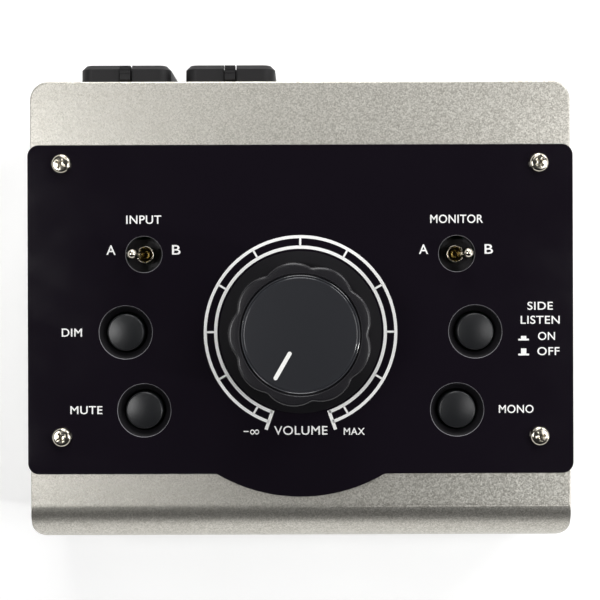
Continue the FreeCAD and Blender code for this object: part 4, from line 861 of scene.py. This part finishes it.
slope_top = SKIRT_EDGE + SKIRT_SLOPE
bevel_low = knob_height - TOP_BEVEL
seat_r = CAP_DISC_R + CAP_GROOVE
seat_floor = knob_height - CAP_THICKNESS
hollow_roof = seat_floor - ROOF_THICKNESS
profile = [(SHAFT_R, SHAFT_TOP), (SHAFT_R, HUB_RAISE), (HUB_R, HUB_RAISE), (HUB_R, hollow_roof),
           (KNOB_HOLLOW_R, hollow_roof), (KNOB_HOLLOW_R, 0), (SKIRT_R - SKIRT_BEVEL, 0),
           (SKIRT_R, SKIRT_BEVEL), (SKIRT_R, SKIRT_EDGE - SKIRT_BEVEL), (SKIRT_R - 0.12 * MM, SKIRT_EDGE),
           (LEDGE_R, slope_top), (GRIP_MARK, slope_top), (GRIP_MARK, bevel_low)]
for step in range(1, BEVEL_STEPS + 1):
    profile.append((GRIP_MARK, bevel_low + TOP_BEVEL * math.sin(math.pi / 2 * step / BEVEL_STEPS)))
profile += [(seat_r + CAP_BEVEL, knob_height), (seat_r, knob_height - CAP_BEVEL), (seat_r, seat_floor),
            (HAIR, seat_floor)]
knob = turned("knob_body_grip", profile, 720)
# The grip is turned at one marked radius, and its points are then moved out or in to the lobes.
for vertex in knob.data.vertices:
    x, y, height = vertex.co
    radius = math.hypot(x, y)
    if abs(radius - GRIP_MARK) < 0.1 * MM:
        growth = FOOT_GROWTH * (bevel_low - height) / (bevel_low - slope_top)
        if height > bevel_low:
            growth = math.sqrt(max(0, TOP_BEVEL ** 2 - (height - bevel_low) ** 2)) - TOP_BEVEL
        wanted = lobed_radius(math.atan2(y, x), growth)
        vertex.co.x *= wanted / radius
        vertex.co.y *= wanted / radius
smooth(knob)
knob = move_to(knob, "knob_body_grip", (knob_place.x, knob_place.y, knob_low.z))
# Moulded ABS: the grip has a satin shine. The skirt is a matt, darker copy of the same ABS with its sheen
# turned down, which is painted shade.
knob_abs = speckled("satin_black_abs", "#161518", "#1C1B1F", MOULD_GRAIN, 0.26, depth=0.003 * MM)
skirt_painted_shade_abs = speckled("matt_black_abs_painted_shade", "#0E0D10", "#131215", MOULD_GRAIN, 0.6,
                    depth=0.006 * MM, specular=0.1)
dress(knob, knob_abs, "volume_knob", ["knob_body"])
knob.data.materials.append(skirt_painted_shade_abs)
# The skirt's faces take the darker copy, the painted shade.
for face in knob.data.polygons:
    if face.center.z < knob_low.z + slope_top + HAIR:
        face.material_index = 1

# The cap's rim is a fine raised bead with a groove inside it: its radii and their depths.
profile = [(HAIR, 0), (CAP_DISC_R, 0)]
profile += [(radius * MM, CAP_THICKNESS - depth * MM) for radius, depth in CAP_RIM]
disc = turned("knob_cap_disc", profile + [(HAIR, CAP_THICKNESS)], 256)


def pointer_bar(name, extra, low, high):
    """Round-ended bar on the cap, from near its middle towards its rim."""
    half = POINTER_WIDTH / 2 + extra
    bar = block(name, (POINTER_REACH[0] - extra, -half, low), (POINTER_REACH[1] + extra, half, high))
    bevel_edges(bar, lambda a, b: abs(a.z - b.z) > HAIR, half * 0.98, 8)
    return bar


pointer_turn = math.radians(FIRST_VALLEY)
pointer_floor = CAP_THICKNESS - POINTER_DEPTH
pocket = pointer_bar("pocket", HAIR / 2, pointer_floor, CAP_THICKNESS + MM)
combine(disc, move_to(pocket, "pocket", (0, 0, 0), turn=pointer_turn), "DIFFERENCE")
smooth(disc)
cap_floor = knob_high.z - CAP_THICKNESS
cap_place = (knob_place.x, knob_place.y, cap_floor)
disc = move_to(disc, "knob_cap_disc", cap_place)
pointer = pointer_bar("knob_pointer_bar", 0, pointer_floor, CAP_THICKNESS + POINTER_PROUD)
smooth(pointer)
pointer = move_to(pointer, "knob_pointer_bar", cap_place, turn=pointer_turn)
# The cap's face is finely textured and a shade lighter. Its bead is glossier and is painted a lighter
# grey, a painted highlight for the thin bright line
#  that it catches, and the pointer is a plain white moulding.
cap_abs = speckled("fine_textured_abs", "#1F2024", "#25262A", MOULD_GRAIN, 0.3,
                   depth=0.004 * MM, specular=0.4)
bead_painted_highlight_abs = speckled("bead_painted_highlight_abs", "#2A2B2F", "#333438", MOULD_GRAIN, 0.14)
dress(disc, cap_abs, "volume_knob", ["knob_cap"])
disc.data.materials.append(bead_painted_highlight_abs)
# The bead's faces take the lighter grey of the painted highlight.
for face in disc.data.polygons:
    reach = math.hypot(face.center.x - knob_place.x, face.center.y - knob_place.y)
    if reach > CAP_RIM[-1][0] * MM and face.center.z > cap_floor + CAP_THICKNESS / 2:
        face.material_index = 1
white_abs = speckled("white_moulded_abs", "#EDEDEA", "#F5F5F2", MOULD_GRAIN, 0.4)
dress(pointer, white_abs, "volume_knob", ["knob_pointer"])

# ---- Combined sockets ----------------------------------------------------------------------
# Two sockets for an XLR or a 6.35 mm jack plug, moulded in black glass-filled nylon. The square
# nose stands out of the rear panel, the flange holds it from behind and the block is soldered to
# the connector board. The groove round the middle takes the shell of an XLR plug.
NOSE_CORNER_R = 3.5 * MM
NOSE_CHAMFER = 1.2 * MM
FLANGE_SIDE = 0.8 * MM
FLANGE_END = 2.5 * MM
FLANGE_THICKNESS = 2.4 * MM
SOCKET_BLOCK_WIDTH = 24.0 * MM
SOCKET_BACK_WALL = 1.0 * MM
SHELL_R = 9.7 * MM
INSERT_R = 7.8 * MM
SHELL_DEPTH = 14.0 * MM
INSERT_SINK = 0.6 * MM
PLUG_BORE_R = 3.25 * MM
PLUG_BORE_LEAD = 0.6 * MM
CONTACT_CIRCLE_R = 5.6 * MM
CONTACT_HOLE_R = 1.5 * MM
CONTACT_ANGLES = (0.0, 180.0, 270.0)
CONTACT_TAIL_R = 0.55 * MM
TAB_WIDTH = 2.9 * MM
TAB_SLOT = (1.75 * MM, 9.4 * MM, -4.9 * MM)
TAB_EDGE = 0.6 * MM
TAB_RIB = 0.5 * MM
TAB_RIB_START = 0.28
SOCKET_SOFTENING = 0.12 * MM
TAB_SOFTENING = 0.06 * MM
NYLON_GRAIN = 0.35 * MM
SOCKETS = ("input_a_left_socket", "input_a_right_socket")
rear_low, rear_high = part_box("rear_panel")
inner_face = rear_low.y
socket_low, socket_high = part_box(SOCKETS[0])
nose_reach = socket_high.y - inner_face
nose_half = (socket_high.x - socket_low.x) / 2 - FLANGE_SIDE
nose_rise = (socket_high.z - socket_low.z) / 2 - FLANGE_END
block_back = socket_low.y - inner_face


def lies_along_y(a, b):
    """Tells the edges that run from front to back."""
    return abs(a.y - b.y) > MM


socket = block("socket", (-nose_half, 0, -nose_rise), (nose_half, nose_reach, nose_rise))
bevel_edges(socket, lies_along_y, NOSE_CORNER_R, 10)
bevel_edges(socket, lambda a, b: min(a.y, b.y) > nose_reach - HAIR, NOSE_CHAMFER, 1)
half_width, half_rise = nose_half + FLANGE_SIDE, nose_rise + FLANGE_END
flange = block("flange", (-half_width, -FLANGE_THICKNESS, -half_rise), (half_width, 0, half_rise))
bevel_edges(flange, lies_along_y, MM, 4)
combine(socket, flange, "UNION")
half_block = SOCKET_BLOCK_WIDTH / 2
body = block("block", (-half_block, block_back, -nose_rise), (half_block, -FLANGE_THICKNESS, nose_rise))
combine(socket, body, "UNION")


def rearward_drum(x, start, z, length, radius, sides, end_r=None):
    """Cutter that runs towards the rear from a depth of the socket."""
    return drum("bore", (x, start, z), length, radius, end_r, sides, "Y")


shell_floor = nose_reach - SHELL_DEPTH
insert_face = nose_reach - INSERT_SINK
groove = rearward_drum(0, shell_floor, 0, SHELL_DEPTH + MM, SHELL_R, 128)
insert = rearward_drum(0, shell_floor - MM, 0, SHELL_DEPTH + MM - INSERT_SINK, INSERT_R, 128)
combine(groove, insert, "DIFFERENCE")
combine(socket, groove, "DIFFERENCE")
wells = [rearward_drum(0, block_back + SOCKET_BACK_WALL, 0, nose_reach - block_back, PLUG_BORE_R, 64)]
for angle in CONTACT_ANGLES:
    x = CONTACT_CIRCLE_R * math.cos(math.radians(angle))
    z = CONTACT_CIRCLE_R * math.sin(math.radians(angle))
    wells.append(rearward_drum(x, shell_floor, z, SHELL_DEPTH + MM, CONTACT_HOLE_R, 32))
    wells.append(rearward_drum(x, block_back - MM, z, shell_floor - block_back + MM, CONTACT_TAIL_R, 16))
combine(socket, joined("wells", wells), "DIFFERENCE")
lead_r = PLUG_BORE_R + PLUG_BORE_LEAD
lead = rearward_drum(0, insert_face - PLUG_BORE_LEAD, 0, PLUG_BORE_LEAD + HAIR, PLUG_BORE_R, 64, lead_r)
combine(socket, lead, "DIFFERENCE")
slot_half, slot_floor, slot_depth = TAB_SLOT
slot_high = (slot_half, nose_reach + MM, nose_rise + MM)
slot = block("slot", (-slot_half, nose_reach + slot_depth, slot_floor), slot_high)
combine(socket, slot, "DIFFERENCE")
soften(socket, SOCKET_SOFTENING)

tab_low, tab_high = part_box(SOCKETS[0] + "_latch")
tab_length, tab_height = tab_high.y - tab_low.y, tab_high.z - tab_low.z
tab = block("tab", (-TAB_WIDTH / 2, 0, 0), (TAB_WIDTH / 2, tab_length, tab_height))
bevel_edges(tab, lambda a, b: min(a.z, b.z) > tab_height - HAIR and abs(a.x - b.x) > MM, TAB_EDGE, 5)
for rib in (1, 2, 3):
    rib_start = tab_length * TAB_RIB_START + rib * 2 * TAB_RIB - TAB_RIB
    low = Vector((-TAB_WIDTH, rib_start, tab_height - TAB_RIB / 2))
    combine(tab, block("groove", low, (TAB_WIDTH, low.y + TAB_RIB, tab_height + MM)), "DIFFERENCE")
soften(tab, TAB_SOFTENING)

# Glass-filled nylon: satin black, with the faint clouds that the fibres leave in its skin.
glass_nylon = speckled("black_glass_nylon", "#100F10", "#171618", NYLON_GRAIN, 0.5,
                       depth=0.008 * MM, specular=0.3)
for name in SOCKETS:
    place = middle_of(name)
    piece = copy_to(socket, name + "_moulding", (place.x, inner_face, place.z))
    dress(piece, glass_nylon, nodes=[name])
    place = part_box(name + "_latch")[0]
    piece = copy_to(tab, name + "_push_tab", (place.x + TAB_WIDTH / 2, place.y, place.z))
    dress(piece, glass_nylon, name + "_release", [name + "_latch"])

# ---- Jack sockets --------------------------------------------------------------------------
# Six 6.35 mm jack sockets of black nylon: a block with a threaded bushing that goes through the
# rear panel, held there by a nickel-plated hexagon nut with chamfered corners.
JACK_BLOCK = (15.0 * MM, 12.0 * MM)
JACK_BUSHING_R = 4.5 * MM
JACK_THREAD = (0.8 * MM, 0.25 * MM)
JACK_MOUTH = 0.5 * MM
NUT_FLATS = 11.0 * MM
NUT_CHAMFER = 0.45 * MM
NUT_BORE_R = 4.55 * MM
NUT_CONE_GROWTH = 1.4
NUT_EDGE = 0.05 * MM
JACK_BLOCK_EDGE = 0.6 * MM
JACK_EDGE = 0.06 * MM
JACK_THREAD_TURNS = 4
JACK_PAIRS = ("input_b", "monitor_a", "monitor_b")
JACKS = [pair + side + "_jack" for pair in JACK_PAIRS for side in ("_left", "_right")]
jack_low, jack_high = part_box(JACKS[0])
jack_back, jack_reach = jack_low.y - inner_face, jack_high.y - inner_face
half_width, half_height = JACK_BLOCK[0] / 2, JACK_BLOCK[1] / 2
jack = block("jack", (-half_width, -half_height, jack_back), (half_width, half_height, 0))
bevel_edges(jack, lambda a, b: abs(a.z - b.z) > MM, JACK_BLOCK_EDGE, 3)
pitch, thread_depth = JACK_THREAD
thread_root_r = JACK_BUSHING_R - thread_depth
profile = [(JACK_BUSHING_R, -HAIR)]
for turn in range(JACK_THREAD_TURNS):
    profile += [(JACK_BUSHING_R, turn * pitch + pitch / 2), (thread_root_r, (turn + 1) * pitch)]
profile += [(JACK_BUSHING_R, JACK_THREAD_TURNS * pitch + pitch / 2),
            (JACK_BUSHING_R, jack_reach - thread_depth), (thread_root_r, jack_reach)]
combine(jack, turned("bushing", profile, 64), "UNION")
bore = turned("bore", [(PLUG_BORE_R, jack_back + SOCKET_BACK_WALL), (PLUG_BORE_R, jack_reach - JACK_MOUTH),
                       (PLUG_BORE_R + JACK_MOUTH + HAIR, jack_reach + HAIR)], 64)
combine(jack, bore, "DIFFERENCE")
soften(jack, JACK_EDGE)
for name in JACKS:
    place = middle_of(name)
    piece = copy_to(jack, name + "_moulding", (place.x, inner_face, place.z), "Y")
    dress(piece, glass_nylon, nodes=[name])

nuts_low, nuts_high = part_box("jack_nuts")
nut_height = nuts_high.y - nuts_low.y
FLAT_TO_CORNER = math.radians(30)
nut_r = NUT_FLATS / 2
nut_corner_r = nut_r / math.cos(FLAT_TO_CORNER)
nut = drum("nut", (0, 0, 0), nut_height, nut_corner_r, sides=6)
cone_r = nut_r + (nut_corner_r - nut_r) * NUT_CONE_GROWTH
corner_cone = [(nut_r, 0), (cone_r, NUT_CHAMFER), (cone_r, nut_height - NUT_CHAMFER), (nut_r, nut_height)]
combine(nut, turned("corner_cone", corner_cone, 96), "INTERSECT")
lead = NUT_CHAMFER / 3
nut_bore = [(NUT_BORE_R + 2 * HAIR, -HAIR), (NUT_BORE_R, lead), (NUT_BORE_R, nut_height - lead),
            (NUT_BORE_R + lead, nut_height + HAIR)]
combine(nut, turned("nut_bore", nut_bore, 64), "DIFFERENCE")
soften(nut, NUT_EDGE)
nuts = []
for name in JACKS:
    place = middle_of(name)
    nuts.append(copy_to(nut, "nut", (place.x, nuts_low.y, place.z), "Y", turn=FLAT_TO_CORNER))
dress(joined("jack_nut_set", nuts), nickel_plate, nodes=["jack_nuts"])

# ---- Rear panel ----------------------------------------------------------------------------
# A steel sheet behind the window of the cover, powder coated black with a fine orange-peel skin
# and printed in white with the names of the sockets. Four screws hold it to the cover.
POWDER_GRAIN = 0.45 * MM
REAR_SCREW_REACH = 4.2 * MM
REAR_SCREW_TURNS = (0.3, 0.9, 0.1, 1.2)
REAR_LETTER_HEIGHT = 1.9
powder_coat = speckled("black_powder_coat", "#151517", "#1D1D20", POWDER_GRAIN, 0.48, depth=0.02 * MM)
finish_nodes(powder_coat, "rear_panel")

# Each word: the socket that it belongs to, its place across and up from there, and its width.
REAR_WORDS = [
    ("INPUT A", "input_a_left_socket", 0.0, -16.4, 11.6),
    ("L", "input_a_left_socket", 10.6, -16.4, 1.1),
    ("INPUT A", "input_a_right_socket", 0.0, -16.4, 11.6),
    ("R", "input_a_right_socket", 10.6, -16.4, 1.3),
    ("INPUT B", "input_b_right_jack", 0.0, -9.0, 11.6),
    ("MONITOR A", "monitor_a_right_jack", 0.0, -9.0, 16.2),
    ("MONITOR B", "monitor_b_right_jack", 0.0, -9.0, 16.2),
]
for pair in JACK_PAIRS:
    for words, side in (("L", "_left"), ("R", "_right")):
        REAR_WORDS.append((words, pair + side + "_jack", 8.4, 0.0, 1.2))
printed = []
for words, control, across, up, width in REAR_WORDS:
    place = middle_of(control)
    word = lettering(words, width, REAR_LETTER_HEIGHT)
    word.rotation_euler = (math.pi / 2, 0, math.pi)
    word.location = (place.x - across * MM, rear_high.y, place.z + up * MM)
    printed.append(settle("word"))
dress(joined("rear_printing", printed), white_ink)

rear_screw = pan_head_screw(SCREW_HEAD_R, COVER_WALL + REAR_SCREW_REACH)
heads = [copy_to(rear_screw, "head", (x, case_high.y, z), "Y", turn)
         for (x, z), turn in zip(rear_screw_places, REAR_SCREW_TURNS)]
# Black zinc plating: a dark, slightly uneven metallic sheen.
black_zinc = speckled("black_zinc_plate", "#2A2A2C", "#38383B", PLATING_WAVE, 0.3, 0.85, 0.004 * MM)
dress(joined("rear_panel_screw_set", heads), black_zinc, nodes=["rear_panel_screws"])

# ---- Base plate and feet -------------------------------------------------------------------
# A zinc-plated steel sheet closes the case from below. Four turned rubber feet stand under it,
# and one long screw sunk in each goes through both into a boss of the cover.
FOOT_EDGE = 0.5 * MM
FOOT_TAPER = 0.3 * MM
FOOT_PAD = 1.6 * MM
HEAD_POCKET_R = 3.05 * MM
BASE_SCREW_GRIP = 8.0 * MM
GRIP_GAP = 0.3 * MM
FOOT_BREAK = 0.2 * MM
FOOT_TOP_BREAK = 0.15 * MM
SPANGLE = 2.2 * MM
feet_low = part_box("rubber_feet")[0]
foot_height = case_low.z - feet_low.z
pocket_depth = foot_height - FOOT_PAD
# Zinc-plated sheet: bright, with the broad faint spangle of the plating.
base_zinc = speckled("zinc_plated_sheet", "#8E9294", "#A9ADAF", SPANGLE, 0.36, 1.0, 0.003 * MM)
finish_nodes(base_zinc, "base_plate")
profile = [(SCREW_HOLE_R, pocket_depth), (HEAD_POCKET_R, pocket_depth), (HEAD_POCKET_R, FOOT_BREAK),
           (HEAD_POCKET_R + FOOT_BREAK, 0)]
profile += arc(FOOT_EDGE, FOOT_R - FOOT_TAPER - FOOT_EDGE, FOOT_EDGE, -90, 0, 6)
profile += [(FOOT_R, foot_height - FOOT_TOP_BREAK), (FOOT_R - FOOT_TOP_BREAK, foot_height),
            (SCREW_HOLE_R, foot_height), (SCREW_HOLE_R, pocket_depth)]
foot = turned("foot", profile, 96)
smooth(foot)
feet = [copy_to(foot, "foot", (x, y, feet_low.z)) for x, y in foot_places]
# Rubber: dull and deep black, with no highlight to speak of.
rubber = speckled("black_foot_rubber", "#101010", "#171716", MOULD_GRAIN, 0.75, depth=0.012 * MM)
dress(joined("rubber_foot_set", feet), rubber, nodes=["rubber_feet"])
foot_screw = pan_head_screw(SCREW_HEAD_R, BASE_SCREW_GRIP + BASE_PLATE_TOP + FOOT_PAD - GRIP_GAP)
heads = [copy_to(foot_screw, "head", (x, y, feet_low.z + pocket_depth), "down") for x, y in foot_places]
dress(joined("foot_screw_set", heads), zinc_plate, nodes=["foot_screws"])

# ---- Floor, camera and light ---------------------------------------------------------------
# The unit lies on a plain pale floor that curves up into a backdrop all round, seen from straight
# above. Three soft windows hang high round the camera, larger screens stand lower at the right,
# the right back corner, the back and the front, and a small window at the right gives glints.
CAMERA_PLACE = (-0.1 * MM, 4.0 * MM, 398.5 * MM)
CAMERA_VIEW = 26.17
CAMERA_SHIFT = -0.0224
CAMERA_ROLL = -0.17
FLOOR_R = 1.5
SWEEP_R = 0.6
SWEEP_STEPS = 12
FLOOR_CLOUD = 40.0 * MM
WALL_TOP = 0.85
GLOW_START = (0.3, 0.36)
GLOW_END = (0.9, 0.75)
UNIT_MIDDLE = 0.03
reach, height = FLOOR_R + SWEEP_R, SWEEP_R
bpy.ops.mesh.primitive_circle_add(vertices=96, radius=reach, location=(0, 0, WALL_TOP))
floor = settle("floor")
pick(floor, "VERT", lambda place: True)
bpy.ops.mesh.extrude_region_move(TRANSFORM_OT_translate={"value": (0, 0, height - WALL_TOP)})
for step in reversed(range(SWEEP_STEPS)):
    angle = math.pi / 2 * step / SWEEP_STEPS
    next_reach, next_height = FLOOR_R + SWEEP_R * math.sin(angle), SWEEP_R * (1 - math.cos(angle))
    bpy.ops.mesh.extrude_region_move(TRANSFORM_OT_translate={"value": (0, 0, next_height - height)})
    bpy.ops.transform.resize(value=(next_reach / reach, next_reach / reach, 1), center_override=(0, 0, 0))
    reach, height = next_reach, next_height
bpy.ops.mesh.edge_face_add()
bpy.ops.mesh.select_all(action="SELECT")
bpy.ops.mesh.normals_make_consistent(inside=True)
bpy.ops.object.mode_set(mode="OBJECT")
smooth(floor, 60)
# Matt pale paint with broad faint clouds. It glows for the camera and in reflections only, so it
# lights nothing; the glow is weak round the unit, where the shadow stays, and rises with the
# distance from it, so that the far backdrop is white in low views too.
pale_floor = speckled("pale_floor", "#E9E9E9", "#EDEDED", FLOOR_CLOUD, 0.8)
shader = pale_floor.node_tree.nodes["Principled BSDF"]
shader.inputs["Emission Color"].default_value = (1, 1, 1, 1)
rays = add_node(shader, "ShaderNodeLightPath").outputs
NUMBER = "ShaderNodeMath"
seen = rays["Is Camera Ray"]
for ray in ("Is Glossy Ray", "Is Transmission Ray"):
    seen = add_node(shader, NUMBER, {"operation": "MAXIMUM"}, {0: seen, 1: rays[ray]}).outputs[0]
flat_place = add_node(shader, VECTOR, {"operation": "MULTIPLY", 1: (1, 1, 0)}, {0: place_of(shader)})
far = add_node(shader, VECTOR, {"operation": "LENGTH"}, {0: flat_place.outputs["Vector"]})
brightness = spread(shader, far.outputs["Value"], GLOW_START[0], GLOW_END[0], GLOW_START[1], GLOW_END[1])
glow = add_node(shader, NUMBER, {"operation": "MULTIPLY"}, {0: seen, 1: brightness})
plug(shader, "Emission Strength", glow.outputs[0])
floor.data.materials.append(pale_floor)

bpy.ops.object.camera_add(location=CAMERA_PLACE, rotation=(0, 0, math.radians(CAMERA_ROLL)))
camera = bpy.context.object
camera.data.angle = math.radians(CAMERA_VIEW)
camera.data.shift_y = CAMERA_SHIFT
camera.data.clip_start = 0.01
camera.data.clip_end = 20
bpy.context.scene.camera = camera

# Each window: its direction, its angle from straight above, the side of its square and its power.
WINDOW_DISTANCE = 0.9
WINDOWS = (
    ("left_window", 180, 29, 0.32, 2.9),
    ("right_window", 0, 29, 0.32, 1.6),
    ("back_window", 90, 29, 0.32, 0.7),
    ("right_screen", 0, 54, 0.45, 1.0),
    ("corner_screen", 45, 60, 0.3, 2.2),
    ("back_screen", 90, 66, 0.45, 4.0),
    ("front_screen", -90, 76, 0.4, 0.1),
    ("key_window", -15, 60, 0.06, 1.6),
)
for name, azimuth, zenith, side, watts in WINDOWS:
    azimuth, zenith = math.radians(azimuth), math.radians(zenith)
    out = WINDOW_DISTANCE * math.sin(zenith)
    place = Vector((out * math.cos(azimuth), out * math.sin(azimuth),
                    UNIT_MIDDLE + WINDOW_DISTANCE * math.cos(zenith)))
    towards = Vector((0, 0, UNIT_MIDDLE)) - place
    facing = towards.to_track_quat("-Z", "Y").to_euler()
    bpy.ops.object.light_add(type="AREA", location=place, rotation=facing)
    light = bpy.context.object
    light.name = name
    light.data.shape = "RECTANGLE"
    light.data.size = light.data.size_y = side
    light.data.energy = watts
world = bpy.data.worlds.new("room")
bpy.context.scene.world = world
world.use_nodes = True
room = world.node_tree.nodes["Background"]
room.inputs["Color"].default_value = (1, 1, 1, 1)
room.inputs["Strength"].default_value = 0.01
bpy.context.scene.view_settings.view_transform = "Standard"
for spare in (screw, rear_screw, foot_screw, foot, cap, bracket, lever, socket, tab, jack, nut):
    bpy.data.objects.remove(spare)
